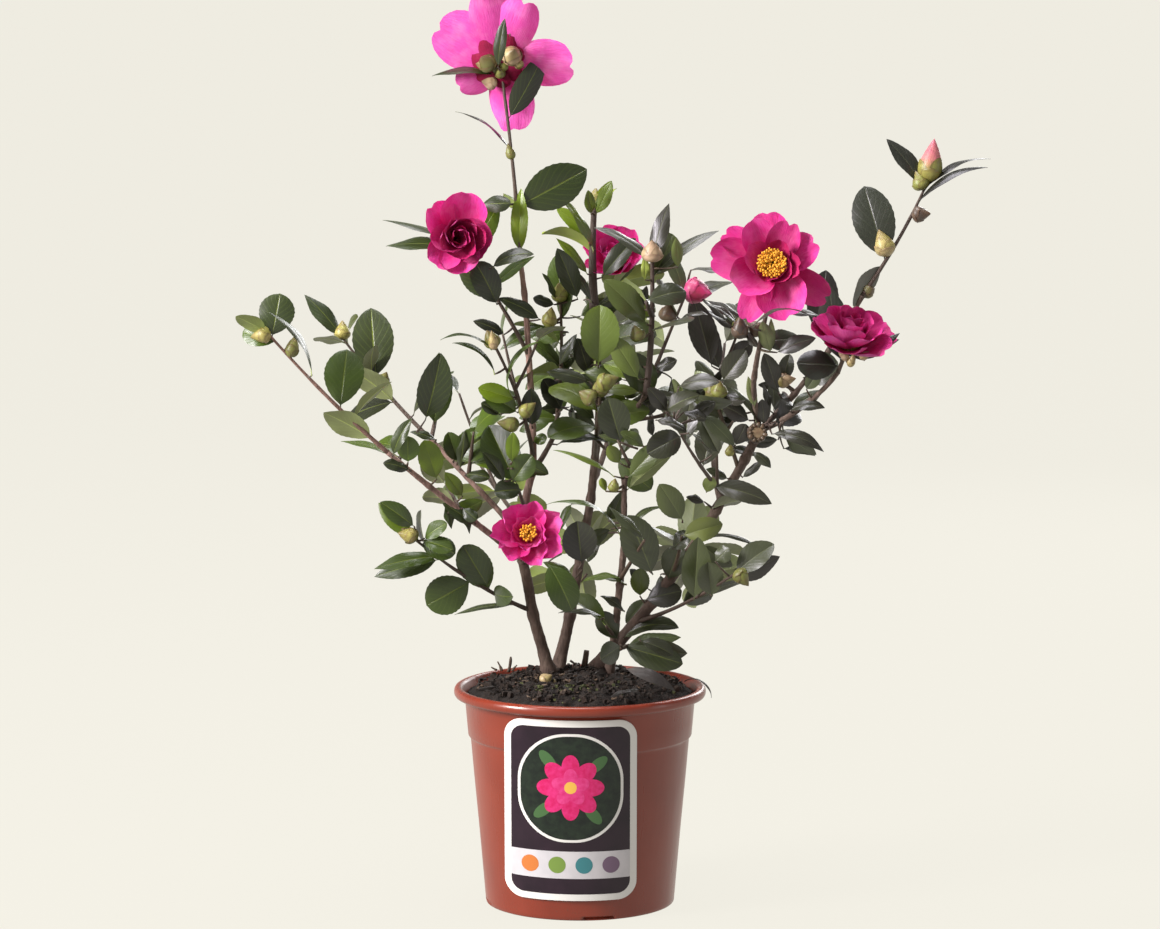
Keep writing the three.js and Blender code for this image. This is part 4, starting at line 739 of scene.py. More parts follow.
def petal_look(name, *colours):
    """Colours: deep, pale and glowing, each for a lit and for a shaded petal; the shaded copies are painted
    shade.
    """
    look = Look(name, 0.6, Specular_IOR_Level=0.2)
    place, depth = look.place(), look.tone(0)
    streak = look.noise(9, 3, look.node("Mapping", {0: place, 3: (6, 0.7, 1)}))
    blush = look.noise(70, 3)
    deep, pale, glow = (look.mix(depth, *pair) for pair in colours)
    # Deep at each petal's foot and pale towards its tip: partly the petal's own colour, partly painted shade in
    # the cup
    colour = deep.mix(place.part(1).spread(0.1, 0.8), pale).mix(streak.spread(0.42, 0.72, 0, 0.5), deep)
    colour = colour.mix(blush.spread(0.45, 0.75, 0, 0.5), glow)
    look.set(Base_Color=colour)
    look.bump(streak + blush * 0.4, 0.0008, 0.8)
    shader, translucent = Signal(look, look.shader.outputs[0]), look.node("BsdfTranslucent", {0: colour})
    look.put(look.tree.nodes["Material Output"].inputs[0],
             look.node("MixShader", {0: 0.25, 1: shader, 2: translucent}))
    return look.material


def bark_look(name, young):
    look = Look(name, 0.62 if young else 0.8)
    ridges, patches, red = look.noise(420, 4, look.where(0.25), 0.65), look.noise(70, 3), look.tone(0)
    if young:
        colour = red.ramp((0, "#483832"), (0.4, "#584636"), (0.75, "#68683a"),
                          (1, "#7c883e")).mix(look.tone(1).spread(0.5, 1), "#9e766c")
        colour = colour.mix(ridges.spread(0.35, 0.7, 0, 0.5), "#3e2e2a")
    else:
        grey = patches.ramp((0.3, "#40332d"), (0.5, "#54443c"), (0.72, "#746358"))
        rosy = patches.ramp((0.3, "#82625a"), (0.5, "#9e7a71"), (0.72, "#b8968d"))
        colour = grey.mix(red, rosy).mix(ridges.spread(0.4, 0.65, 0, 0.55), "#3c2c26")
    look.set(Base_Color=colour)
    look.bump(ridges + patches * 0.5, 0.0012, 0.9)
    return look.material


def bud_look():
    look = Look("bud scales", 0.42)
    place, kind = look.place(), look.tone(0)
    v, off = place.part(1), abs(place.part(0) - 0.5) * 2
    colour = kind.ramp((0, "#c4a68a"), (0.15, "#a89e54"), (0.32, "#7e823e"),
                       (0.55, "#68623a"), (0.72, "#625044"), (0.82, "#3c3230"),
                       (0.88, "#a4043e"), (1, "#ee70aa"))
    edge = off.spread(0.72, 1, 0, 0.6).larger(v.spread(0.66, 0.98, 0, 0.7))
    colour = colour.mix(edge, look.mix(kind.spread(0.83, 0.86), "#684832", "#e23c82"))
    colour = colour.shaded(look.tone(2).spread(0, 1, 0.82, 1.12))
    colour = colour.mix(v.spread(0.1, 0.6) * look.tone(1), "#e2608c")
    look.set(Base_Color=colour.mix(look.noise(260, 3).spread(0.48, 0.72, 0, 0.3), "#5a4a30"))
    look.bump(look.noise(700, 3), 0.0003, 0.4)
    return look.material


TWIG_BARK, BUD = bark_look("twig bark", True), bud_look()

# The plant

REDNESS = {"bough_tall": 1.0, "stem_left_upper": 0.5, "bough_left_low": 0.9, "bough_left_high": 0.55}
STRONG_TWIGS = {"middle_top": 2.1, "centre_top": 1.5}
routes = {}
limbs = Pile()
for order, (name, (*fork, tip, bow, (wide, narrow))) in enumerate({**STEMS, **BOUGHS}.items()):
    stem = name in STEMS
    wobble, share, rough = (0.5, 0.86, 0.42) if stem else (0.35, 0.84, 0.28)
    route = Route((*fork[0], GROUND - 0.8) if stem else routes[fork[0]].point(fork[1]), tip, bow)
    routes[name] = route
    t = np.linspace(0, 1, max(8, int(route.span() / 2.6)))
    bends = np.stack([np.sin(9 * t + order), np.cos(7 * t + 2 * order), 0 * t], -1)
    centres = route.point(t[:, None]) + wobble * bends * np.sin(math.pi * t)[:, None]
    flare = 0.42 * wide * np.exp(-t / 0.1) if stem else 0
    tube(limbs, centres, (wide + (narrow - wide) * t + flare) * share, 18, (REDNESS.get(name, 0.1), 0.5, 0.5),
         rough=rough, seed=order + 1)
limbs.mesh("stems_and_boughs", bark_look("bark", False), "bark", list(routes))

tops, unders, twigs, petals, petal_backs, buds, filaments, anthers = (Pile() for _ in range(8))


def add_twig(route, radii, tone, seed, sides=9, reach=1.0, pink=0.5):
    t = np.linspace(0, reach, max(5, int(route.span() * reach / 4)))
    sizes = radii[0] + (radii[1] - radii[0]) * t / reach
    tube(twigs, route.point(t[:, None]), sizes, sides, (tone, pink, 0.5), rough=0.1, seed=seed)


def add_bloom(centre, name, seed):
    bloom = BLOOMS[name]
    depth, twist, wide, stamens = bloom["depth"], bloom["twist"], bloom.get("wide", 1.0), bloom["stamens"]
    centre = centre + np.array(bloom.get("shift", (0, 0, 0)))
    axis = direction(*bloom["facing"])
    right = sideways(axis)

    def around(angle):
        return rotate(right, axis, angle)

    for row, (count, *petal) in enumerate(bloom["rows"]):
        for i in range(count):
            angle = math.pi * (row + 2 * i) / count + 0.25 * (random(seed + row, 30 + i) - 0.5)
            # Each inner row gets more painted shade, the shade of the cup
            shade = depth + bloom.get("painted_shade_per_row", 0.14) * row + 0.25 * (random(seed, 60 + 9 * row + i) - 0.5)
            add_petal(centre + axis * (1.5 * row - 3), axis, around(angle), petal,
                      (clamp(shade), random(seed, i), 0.5), seed + 31 * row + i, twist)
    for i, (angle, *petal) in enumerate(bloom.get("petals", [])):
        # A single petal's listed shade is painted shade
        shade = petal.pop() if len(petal) > 6 else clamp(depth + 0.3 * (random(seed, 60 + i) - 0.5))
        add_petal(centre - axis * (3 - 0.2 * i), axis, around(-math.radians(angle)), petal,
                  (shade, random(seed, i), 0.5), seed + i, twist)
    # The husk takes the shaded petal colour in full
    for i, (angle, length, width) in enumerate(bloom.get("husk", [])):
        add_petal(centre - axis * (5 + 0.4 * (i % 2)), axis, around(-math.radians(angle)),
                  (length, width, 92, -30, 0.4, 0.8), (1.0, 0.9, 0.5), seed + 70 + i, 14)
    for i, (aside, above, length, radius, lean, tone) in enumerate(bloom.get("caps", [])):
        along = unit(around(-math.radians(lean)) - axis * 0.7)
        root = centre - axis * 7 + right * aside - np.cross(axis, right) * above - along * length * 0.4
        add_bud(buds, root, along, length, radius, (tone, 0), seed + i, scales=5)
    for k in range(stamens):
        lean, spread = around(k * GOLDEN), math.sqrt((k + 0.5) / stamens)
        foot = centre + lean * wide * (0.4 + 3.4 * spread) - axis
        height = 13 + 3.5 * random(seed, 90 + k) + 1.5 * spread
        head = foot + axis * height + lean * wide * (0.2 + 6.6 * spread)
        tube(filaments, [foot, (foot + head) / 2 + lean * 0.8, head], [0.42, 0.36, 0.3], 5, (0.5, 0.5, 0.5))
        turned = unit(axis + lean * 0.6 + 0.5 * sideways(axis, k))
        tube(anthers, [head + turned * end for end in (-1.2, -0.5, 0.5, 1.2)], [0.4, 0.95, 0.95, 0.4], 6,
             (random(seed, k), 0.5, 0.5))
    for k in range(9 if bloom.get("calyx") else 0):
        along = swung(axis, around(k * GOLDEN), math.radians(100 - 5 * k))
        add_bud(buds, centre - axis * (5 - 0.25 * k), unit(along + axis * 0.5), 10 + 0.5 * k, 3.8,
                (0.6 if k % 3 else 0.3, 0), seed + k, scales=2)


# The picture's camera

# Focal length and sensor, the eye's place and its dip in degrees, and the size of the picture in dots
LENS, SENSOR = 125.1, 36
EYE, DIP = np.array([0, -3000.0, 700.0]), 6.98
PICTURE = np.array([1160, 929])
FOCAL = PICTURE[0] * LENS / SENSOR
AHEAD, ABOVE = direction(90, -DIP), direction(90, 90 - DIP)
# Millimetres in a dot of the picture, inside the crown and at the pot's rim
USUAL_DOT, RIM_DOT = 0.74, 0.73


def in_picture(point):
    """Where a point in millimetres stands in the picture, in dots."""
    way = point - EYE
    return PICTURE / 2 + FOCAL * np.array([way[0], -way @ ABOVE]) / (way @ AHEAD)


def ray(px, py):
    """The way from the eye to a dot of the picture."""
    u, v = (np.array([px, py]) - PICTURE / 2) / FOCAL
    return AHEAD - v * ABOVE + (u, 0, 0)


def from_picture(px, py, depth):
    """The point that stands at a dot of the picture and at a depth in millimetres behind the pot's middle."""
    way = ray(px, py)
    return EYE + way * (depth - EYE[1]) / way[1]


def on_level(px, py, level):
    """The point that stands at a dot of the picture and at a height in millimetres."""
    way = ray(px, py)
    return EYE + way * (level - EYE[2]) / way[2]


def dot_size(point):
    return (point[1] - EYE[1]) / FOCAL


def shown_leaf(root, tip, width, turn, curl, toward=(0, -1.0, 0)):
    """A leaf whose root and tip are given: it bulges between them to the side that it faces."""
    reach = np.linalg.norm(tip - root)
    chord = (tip - root) / reach
    half = math.radians(max(curl, 4)) / 2
    normal = rotate(square_to(np.array(toward), chord), chord, math.radians(turn))
    return dict(root=root, along=swung(chord, normal, half), face=swung(normal, -chord, half),
                length=reach * half / math.sin(half), width=width, curl=2 * half)


sprays = {name: Route(routes[limb].point(share), tip, bow)
          for name, (limb, share, tip, bow, *_) in MASSES.items()}
anchor_points = [route.point(np.linspace(0.1, 1, 30)[:, None]) for route in routes.values()]
for name, spray in sprays.items():
    if not name.startswith("back_"):
        anchor_points.append(spray.point(np.linspace(0, 0.97, 24)[:, None]))
anchor_points = np.vstack(anchor_points)
anchor_dots = np.array([in_picture(point) for point in anchor_points])


def painted_shade_share(point):
    """Where a spray stands from left to right, which sets the painted light on its leaves: lighter and greener
    on the left, painted shade and a grey painted sheen on the right.
    """
    return clamp((point[0] + 240) / 430)


def hang(px, py, front):
    """The point at a dot of the picture a little in front of the nearest twig, and that twig's point."""
    away = np.hypot(anchor_dots[:, 0] - px, anchor_dots[:, 1] - py) + 0.12 * anchor_points[:, 1]
    anchor = anchor_points[np.argmin(away)]
    return from_picture(px, py, anchor[1] - front), anchor


def add_stalk(anchor, leaf, bow, young, seed, sides):
    add_twig(Route(anchor, leaf["root"] + 0.8 * leaf["along"], bow), (0.9, 0.5), young, seed, sides=sides)


# Gaps in millimetres: a wider one needs a stalk, and one wider than the second is too far for a small leaf
STALK_GAP, FAR_GAP = 3, 50
# How far in front of its twig a leaf starts and how far its tip leans on, where the table doesn't say
USUAL_DEPTHS = [5, 6]

shown_places = []
for k, (x0, y0, x1, y1, width, turn, curl, young, *depths) in enumerate(SHOWN):
    front, lean = depths + USUAL_DEPTHS[len(depths):]
    root, anchor = hang(x0, y0, front)
    leaf = shown_leaf(root, from_picture(x1, y1, root[1] - lean), width * dot_size(root), turn, curl)
    add_leaf(tops, unders, leaf, (young, random(41, k), painted_shade_share(root)), 4000 + k)
    shown_places.append(((x0 + x1) / 2, (y0 + y1) / 2, root[1]))
    gap = np.linalg.norm(root - anchor)
    if gap > STALK_GAP:
        add_stalk(anchor, leaf, 0.08 * gap * (unit(root - anchor) - leaf["along"]), clamp(0.6 * young), k, 7)
shown_places = np.array(shown_places)

for k, (px, py, length, width, lean, tone) in enumerate(SHOWN_BUDS):
    along = unit(direction(0, 90 - lean) + (0, -0.25, 0))
    middle, anchor = hang(px, py, 9)
    dot = dot_size(middle)
    foot = middle - along * length * dot / 2
    add_bud(buds, foot, along, length * dot, width * dot / 2, (tone, 0), 60 + k)
    if np.linalg.norm(foot - anchor) > STALK_GAP:
        add_twig(Route(anchor, foot + along, (0, 0, -1)), (1.1, 0.8), 0.3, k, sides=7)

# The dry rough end of the cut branch
knob, anchor = hang(757, 433, 12)
toward = unit(np.array([0.1, -1.0, 0.25]))
tube(twigs, [anchor, (anchor + knob) / 2, knob - 3 * toward, knob + 2 * toward], [2.5, 4, 7.4, 7.2], 14,
     (0.0, 0.5, 0.5), rough=0.5, seed=3)
for k in range(11):
    outward = sideways(toward, 2 * math.pi * k / 11)
    middle, tip = knob + 6 * outward + 2.4 * toward, knob + (5 + k % 3) * outward + 4.6 * toward
    tube(buds, [knob + 3 * outward, middle, tip], [2.2, 2, 0.9], 7, (0.7, 0, 0.2 * (k % 3)), rough=0.3, seed=k)
tube(buds, [knob, knob + 2.4 * toward, knob + 3.2 * toward], [5.4, 5.2, 3.6], 14, (0.02, 0, 0),
     rough=0.5, seed=5)


def has_room(leaf):
    """Seeded leaves keep out of the sky between the sprays and from in front of the leaves above."""
    middle, end = (leaf["root"] + share * leaf["length"] * leaf["along"] for share in (0.55, 0.9))
    for px, py in (in_picture(end), in_picture(middle)):
        if any(left < px < right and top < py < bottom for left, top, right, bottom in SKY):
            return False
    if middle[1] < 60 and any(math.hypot(px - u, py - v) < reach for u, v, reach in IN_VIEW):
        return False
    close = np.hypot(shown_places[:, 0] - px, shown_places[:, 1] - py) < 24
    return not np.any(close & (shown_places[:, 2] > middle[1] - 4))


for seed, (name, (*_, count, sides, size, end)) in enumerate(MASSES.items(), 1):
    spray, youth, strength = sprays[name], YOUTH.get(name, USUAL_YOUTH), STRONG_TWIGS.get(name)
    # grey is the spray's share of painted side light: painted shade and sheen on the right, painted light on
    # the left
    edge_leaves, side_buds, grey = EDGE_LEAVES.get(name, []), SIDE_BUDS.get(name, []), painted_shade_share(spray.c)
    for number, (route, radii, leaves) in enumerate(grow(spray, count, sides, size, seed)):
        kept = [leaf for leaf in leaves if has_room(leaf)]
        shares = [leaf["share"] for leaf in kept]
        if not number:
            shares += [row[0] for row in edge_leaves + side_buds] + [1.0] * bool(end)
        reach = max(shares, default=0)
        if reach > 0.05:
            add_twig(route, np.multiply(radii, (0.72, 0.55)) * (strength or 1), 0 if strength else 0.6 * youth,
                     seed + number, reach=reach, pink=0.9 if name == "left_low_tip" else 0.5)
        for k, leaf in enumerate(kept):
            young = clamp(youth + 0.5 * (random(seed, 800 + 7 * number + k) - 0.5))
            add_leaf(tops, unders, leaf, (young, random(seed, k), grey), 97 * seed + 13 * number + k)
    for k, row in enumerate(edge_leaves):
        young = row[6] if len(row) > 6 else clamp(youth + 0.4 * (random(seed, 900 + k) - 0.5))
        leaf = edge_leaf(spray, *row[:6], *row[7:])
        add_leaf(tops, unders, leaf, (young, random(seed, k), grey), 97 * seed + 50 + k)
    for k, (share, azimuth, rise, length, radius, tone) in enumerate(side_buds):
        add_bud(buds, spray.point(share), direction(azimuth, rise), length, radius, (tone, 0), seed + k)
    if end in BLOOMS:
        add_bloom(spray.point(1), end, seed)
    elif end:
        length, radius, lean = BUD_ENDS[end]
        lean = BUD_LEANS.get(name, lean)
        along = direction(*lean) if lean else spray.along(1)
        tone = {"pink": 0.965, "pointed": 0.25}.get(end, 0.1 + 0.35 * random(seed, 5))
        add_bud(buds, spray.point(1) - along * 2, along, length, radius, (tone, 0.6 * (end == "pointed")), seed)

for row, ((left, top, right, bottom), count) in enumerate(DENSE):
    for k in range(count):
        r = [random(900 + row, 10 * k + j) for j in range(7)]
        px, py = left + (right - left) * r[0], top + (bottom - top) * r[1]
        root, anchor = hang(px, py, -10 - 34 * r[2])
        heading, reach = 2 * math.pi * r[3], 24 + 18 * r[4]
        tip = from_picture(px + reach * math.cos(heading), py - 0.9 * reach * math.sin(heading),
                           root[1] + 24 * (r[5] - 0.5))
        width = (0.34 + 0.2 * r[6]) * reach * USUAL_DOT
        leaf = shown_leaf(root, tip, width, 120 * (r[6] - 0.5), 20 + 50 * r[2])
        gap = np.linalg.norm(root - anchor)
        if has_room(leaf) and gap <= FAR_GAP:
            add_leaf(tops, unders, leaf, (0.05 + 0.35 * r[4], r[5], painted_shade_share(root)), 6000 + 50 * row + k)
            add_stalk(anchor, leaf, -0.12 * gap * leaf["along"], 0.1, k, 6)

foliage = ["foliage_" + name for name in MASSES]
for name, pile, material in [
        ("leaves_upper", tops, leaf_look("leaf upper side", False)),
        ("leaves_under", unders, leaf_look("leaf underside", True)),
        ("twigs", twigs, TWIG_BARK),
        ("buds", buds, BUD),
        # Each petal colour comes as a lit and a shaded copy; the shaded copy is painted shade
        ("petals_inside", petals, petal_look(
            "petal inside", ("#f00a78", "#820026"), ("#ff54be", "#be004a"),
            ("#ff9cd8", "#e2226e"))),
        ("petals_back", petal_backs, petal_look(
            "petal back", ("#e63aa6", "#5c0c24"), ("#fa70d6", "#a00c46"),
            ("#ffb0e6", "#ce286c"))),
        ("stamen_threads", filaments, Look("stamen threads", 0.5, Base_Color="#ecce78").material),
        ("anthers", anthers, Look("anthers", 0.7, Base_Color="#e2a028").material)]:
    pile.mesh(name, material, "foliage", foliage)

# The pot


def turned(profile, sides):
    """A profile of radii and heights turned round the middle, and the angles at which its points stand."""
    angles = np.arange(sides) * 2 * math.pi / sides
    radii, heights = np.array(profile, float).T[..., None]
    return np.stack(np.broadcast_arrays(radii * np.cos(angles), radii * np.sin(angles), heights), -1), angles


# The slots in the foot: their rows of the profile, how far in they reach and half their width as an angle
SLOT_ROWS, SLOT_INSIDE, SLOT_HALF = (9, 10), 66.8, 11 / 71.5
POT_SIDES = 288
POT_PROFILE = [
    (0, 0), (53.6, 0), (54, 0.4), (54, 3), (66, 3), (66, 0.3), (66.4, 0), (70.2, 0), (71.0, 0.3), (71.34, 0.9),
    (71.36, 0.93), (71.6, 3.57), (71.6, 3.6), (73.0, 20), (76.5, 60), (80.0, 97), (82.4, 124.6), (82.6, 126),
    (83.0, 127), (84.0, 127.8), (84.4, 128.6), (85.4, 140), (86.7, 155), (87.2, 156.3), (88.2, 156.9),
    (92.4, 157.2), (94.0, 157.9), (94.8, 159.2), (95.0, 161), (94.7, 162.9), (93.9, 164.2), (92.6, 164.9),
    (91, 165), (89.6, 164.4), (88.4, 162.6), (86.6, 158), (85.2, 155.2), (80.0, 100), (69.6, 5), (52, 5),
    (52, 2), (0, 2),
]
points, angles = turned(POT_PROFILE, POT_SIDES)
quarter = math.pi / 2
slots = np.abs((angles + quarter * 3 / 8) % quarter - quarter / 2) < SLOT_HALF
for row in SLOT_ROWS:
    points[row, slots, :2] *= SLOT_INSIDE / POT_PROFILE[row][0]
pot = Pile()
pot.add(points, grid_faces(len(POT_PROFILE), POT_SIDES, closed=True),
        grid(angles / (2 * math.pi), np.linspace(0, 1, len(POT_PROFILE))[:, None]))

look = Look("pot plastic", 0.3, Specular_IOR_Level=0.55)
cloud, specks, smear = look.noise(14, 4), look.noise(900, 2), look.noise(30, 4, look.where(0.15))
colour = cloud.ramp((0.3, "#782714"), (0.55, "#822e1a"), (0.8, "#8a3625"))
dirt = look.where().part(2).spread(0, 0.07, 1, 0.15) * specks.spread(0.63, 0.7)
look.set(Base_Color=colour.mix(dirt * 0.55, "#5c3c2c"), Roughness=smear.spread(0.35, 0.7, 0.22, 0.4))
look.bump(smear * 0.6 + specks * 0.05, 0.0012, 0.35)
pot.mesh("pot_wall", look.material, "pot_plastic", ["pot"])

# The soil and what lies on it


def soil_level(far):
    """How high the soil stands at a distance from the middle."""
    return np.interp(far, (64, 76, 94), (170, 166, 154))


SOIL_SIDES, SOIL_RINGS, SOIL_EDGE = 360, 91, 84.8
radii = np.linspace(0, 86, SOIL_RINGS)
points, _ = turned(np.stack([np.minimum(radii, SOIL_EDGE), soil_level(radii)], -1), SOIL_SIDES)
x, y = points[..., 0], points[..., 1]
far = np.hypot(x, y)
lumps = 0
for k in range(26):
    turn, pitch = 2 * math.pi * random(5, k), 0.12 + 0.9 * random(6, k) ** 1.5
    wave = np.sin(pitch * (x * math.cos(turn) + y * math.sin(turn)) + 6.3 * random(7, k))
    lumps = lumps + 0.34 / (0.6 + pitch) * wave
edge = np.clip((85 - far) / 6, 0, 1) * (1 - 0.7 * np.clip((y - 22) / 20, 0, 1))
hollow = 4 * np.clip((far - 57) / 12, 0, 1) * np.clip(y / 30, 0, 1) * (far < 84)
points[..., 2] += np.clip(lumps, -2.2, 2.4) * edge - 0.6 - hollow
soil = Pile()
soil.add(points, grid_faces(SOIL_RINGS, SOIL_SIDES, closed=True))
look = Look("compost", 0.95)
grain, clods = look.noise(500, 5, rough=0.7), look.noise(120, 4)
fleck = look.node("TexVoronoi", {"Vector": look.where(), "Scale": 260.0})
colour = grain.ramp((0.32, "#0e0908"), (0.5, "#1d1411"), (0.7, "#382920"))
colour = colour.mix(clods.spread(0.4, 0.65, 0, 0.5), "#2c1f1b")
look.set(Base_Color=colour.mix(fleck.spread(0.12, 0.05, 0, 0.7), "#967a5e"))
look.bump(grain + clods * 2, 0.003)
soil.mesh("soil_top", look.material, "soil", ["soil"])

SQUARE = ((-1, -1), (1, -1), (1, 1), (-1, 1))
CHIP = np.array([(*corner, c) for c in (-1, 1) for corner in SQUARE]) / 2
CHIP_FACES = [(0, 3, 2, 1), (4, 5, 6, 7), (0, 1, 5, 4), (1, 2, 6, 5), (2, 3, 7, 6), (3, 0, 4, 7)]


CHIP_REACH, CHIP_FREE = 78, 30


def chips(name, count, seed, sizes, colours, flat, front=0.0):
    """Loose bits on the soil. The share front of them lies in front of the stems."""
    pile = Pile()
    for k in range(count):
        r = [random(seed, 11 * k + j) for j in range(9)]
        far, turn = CHIP_REACH * math.sqrt(r[0]), 2 * math.pi * r[1]
        if r[8] < front:
            far, turn = CHIP_FREE + (CHIP_REACH - CHIP_FREE) * r[0], -math.pi / 2 + 1.6 * (r[1] - 0.5)
        far *= 0.74 if math.sin(turn) > 0.3 else 1
        size = sizes[0] + (sizes[1] - sizes[0]) * r[2] ** 2
        along = direction(360 * r[3], 40 * (r[4] - 0.5))
        other = sideways(along, 0.8 * (r[5] - 0.5))
        uneven = np.reshape([random(seed + 1, 40 * k + j) - 0.5 for j in range(24)], (8, 3))
        corners = CHIP * size * (1, 0.35 + 0.5 * r[6], flat * (0.5 + r[7])) * (1 + 0.35 * uneven)
        middle = far * direction(math.degrees(turn), 0) + (0, 0, soil_level(far) + 0.25 * size * flat + 0.3)
        pile.add(middle + corners @ [along, other, np.cross(along, other)], CHIP_FACES, tone=(r[5], r[6], 0.5))
    look = Look(name, 0.9)
    colour = look.mix(look.tone(0), *colours)
    look.set(Base_Color=colour.mix(look.noise(600, 3).spread(0.4, 0.7, 0, 0.6), "#30221c"))
    look.bump(look.noise(900, 3), 0.0006, 0.8)
    pile.mesh(name, look.material, "soil", smooth=False)


chips("soil_crumbs", 1100, 11, (1.0, 3.8), ("#140d0b", "#2e211a"), 0.8)
chips("bark_chips", 90, 12, (2, 6), ("#3e2e26", "#7a6452"), 0.28)
chips("moss_bits", 46, 13, (1.6, 4.4), ("#3a4022", "#54582e"), 0.6, front=0.8)

# Cut stubs and sticks: foot in the picture, height, lean to the right, radius at the foot and at the tip
STICKS = [
    (508, 672, 12, 10, 1.3, 0.7), (502, 671, 8, -25, 1.0, 0.5), (512, 671, 6, 40, 0.9, 0.5),
    (497, 670, 5, -60, 0.8, 0.4), (584, 668, 14, 8, 2.6, 2.0), (579, 668, 9, -50, 1.2, 0.8),
    (592, 669, 9, 50, 1.2, 0.7), (560, 694, 6, 60, 1.4, 1.0),
]
litter, pellet, dead, dead_back = (Pile() for _ in range(4))
for k, (px, py, tall, lean, wide, narrow) in enumerate(STICKS):
    share = np.linspace(0, 1, 7)[:, None]
    bow = 0.5 * direction(70 * k, 0) * np.sin(3 * share)
    tube(litter, on_level(px, py, 169) + tall * direction(0, 90 - lean) * share + bow,
         np.linspace(wide, narrow, 7), 8, (0.3, 0.5, 0.5), rough=0.2, seed=k)
litter.mesh("sticks", TWIG_BARK, "soil")
add_bud(pellet, on_level(541, 682, 170), unit((0.7, -0.3, 0.5)), 11, 4.6, (0.09, 0), 7, scales=5)
add_bud(pellet, on_level(552, 680, 171), unit((0.5, -0.3, -0.4)), 6, 2.2, (0.05, 0), 8, scales=3)
pellet.mesh("pellet", BUD, "soil")

# Dead leaves: root and tip in the picture, width in dots, the height they lie at, curl, turn about the midrib.
# The first leans on the rim from behind and the second hangs over the rim in front
DEAD_LEAVES = [
    (624, 669, 675, 691, 14, 174, 70, 20), (684, 681, 711.5, 698, 5, 167, 125, 0),
    (640, 690, 610, 697, 8, 171.5, 30, 0), (590, 676, 620, 668, 7, 172, 30, 40),
    (476, 690, 497, 686, 5, 171, 20, 10),
]
for k, (x0, y0, x1, y1, width, level, curl, turn) in enumerate(DEAD_LEAVES):
    root, tip, toward = on_level(x0, y0, level), on_level(x1, y1, level), (0, -0.5, 1.0)
    if k == 0:
        root = from_picture(x0, y0, tip[1] + 10)
    elif k == 1:
        root, tip, toward = from_picture(x0, y0, -4), from_picture(x1, y1, -10), (0.6, -0.2, 0.8)
    leaf = shown_leaf(root, tip, width * RIM_DOT, turn, curl, toward)
    add_leaf(dead, dead_back, leaf, (0.2, random(8, k), 0.5), 700 + k)
look = Look("dead leaf", 0.5)
look.set(Base_Color=look.noise(60, 3).ramp(
    (0.3, "#221c1b"), (0.55, "#362e2c"), (0.75, "#504743")))
look.bump(look.noise(140, 3), 0.0008, 0.7)
dead.mesh("dead_leaves", look.material, "soil")
dead_back.mesh("dead_leaves_under", look.material, "soil")

# The label

LEFT, RIGHT, LOW, HIGH = -56, 42, 16, 154
MIDDLE_U, MIDDLE_V = (LEFT + RIGHT) / 2, LOW + 87
SHEET_OFF, CORNER = 0.95, 13.8


def card_point(u, v, off):
    """A point on the label: u millimetres to the right of the pot's middle, v above its foot."""
    radius = 71.4 + (87 - 71.4) * v / 156.5 + 0.8 + off
    x = np.clip(u, -radius * 0.98, radius * 0.98)
    return grid(x, -np.sqrt(radius ** 2 - x ** 2), v)


def columns(pile, u, low, high, rows, off, places=(0, 0)):
    """Fills the label from low to high at each u."""
    v = low + (high - low) * np.linspace(0, 1, rows)[:, None]
    pile.add(card_point(u, v, off), grid_faces(rows, u.size), grid(u, v) * places)


def card_outline(left, right, low, high, corner):
    """The lower and the upper edge of a field with rounded corners."""
    u = left + (right - left) * (0.5 - 0.5 * np.cos(np.linspace(0, math.pi, 60)))
    near = np.clip(corner - np.minimum(u - left, right - u), 0, corner)
    cut = corner - np.sqrt(corner ** 2 - near ** 2)
    return u, low + cut, high - cut


def disc(pile, cu, cv, a, b, spin, off):
    """A leaning ellipse on the label."""
    c, s = math.cos(spin), math.sin(spin)
    du = -math.hypot(a * c, b * s) * 0.999 * np.cos(np.linspace(0, math.pi, 26))
    k1, k2 = c ** 2 / a ** 2 + s ** 2 / b ** 2, s ** 2 / a ** 2 + c ** 2 / b ** 2
    k3 = s * c * (1 / a ** 2 - 1 / b ** 2)
    half = np.sqrt(np.maximum((k3 * du) ** 2 - k2 * (k1 * du ** 2 - 1), 0)) / k2
    middle = cv - k3 * du / k2
    columns(pile, cu + du, middle - half, middle + half, 5, off)


def printed(name, pile, tint, colour, other=None, scale=60, nodes=()):
    look = Look("label " + tint, 0.3, Base_Color=colour, Specular_IOR_Level=0.35)
    if other:
        look.set(Base_Color=look.mix(look.noise(scale, 3).spread(0.35, 0.7), colour, other))
    pile.mesh("label_" + name, look.material, "card", nodes)


# Fields: name, tint, how far in from the sides, low and high end, corner, height off the pot, colours
for name, tint, inset, low, high, corner, off, *colours in [
        ("sheet", "white", 0, LOW, HIGH, CORNER, SHEET_OFF, "#ece8e6"),
        ("field", "plum", 5, LOW + 5, HIGH - 5, 9.5, 1.03, "#1e0e1c", "#2a1826"),
        ("band", "pale", 5, LOW + 17, LOW + 38, 0.6, 1.09, "#d6d0d6", "#c8c4ca"),
        ("window", "rim", 10, LOW + 45, HIGH - 10, 36, 1.09, "#e8e4e2"),
        ("picture", "green", 12, LOW + 47, HIGH - 12, 34.5, 1.15, "#101814", "#202c20", 180)]:
    pile = Pile()
    columns(pile, *card_outline(LEFT + inset, RIGHT - inset, low, high, corner), 13, off, (1 / 100, 1 / 150))
    printed(name, pile, tint, *colours, nodes=["label"] if name == "sheet" else ())

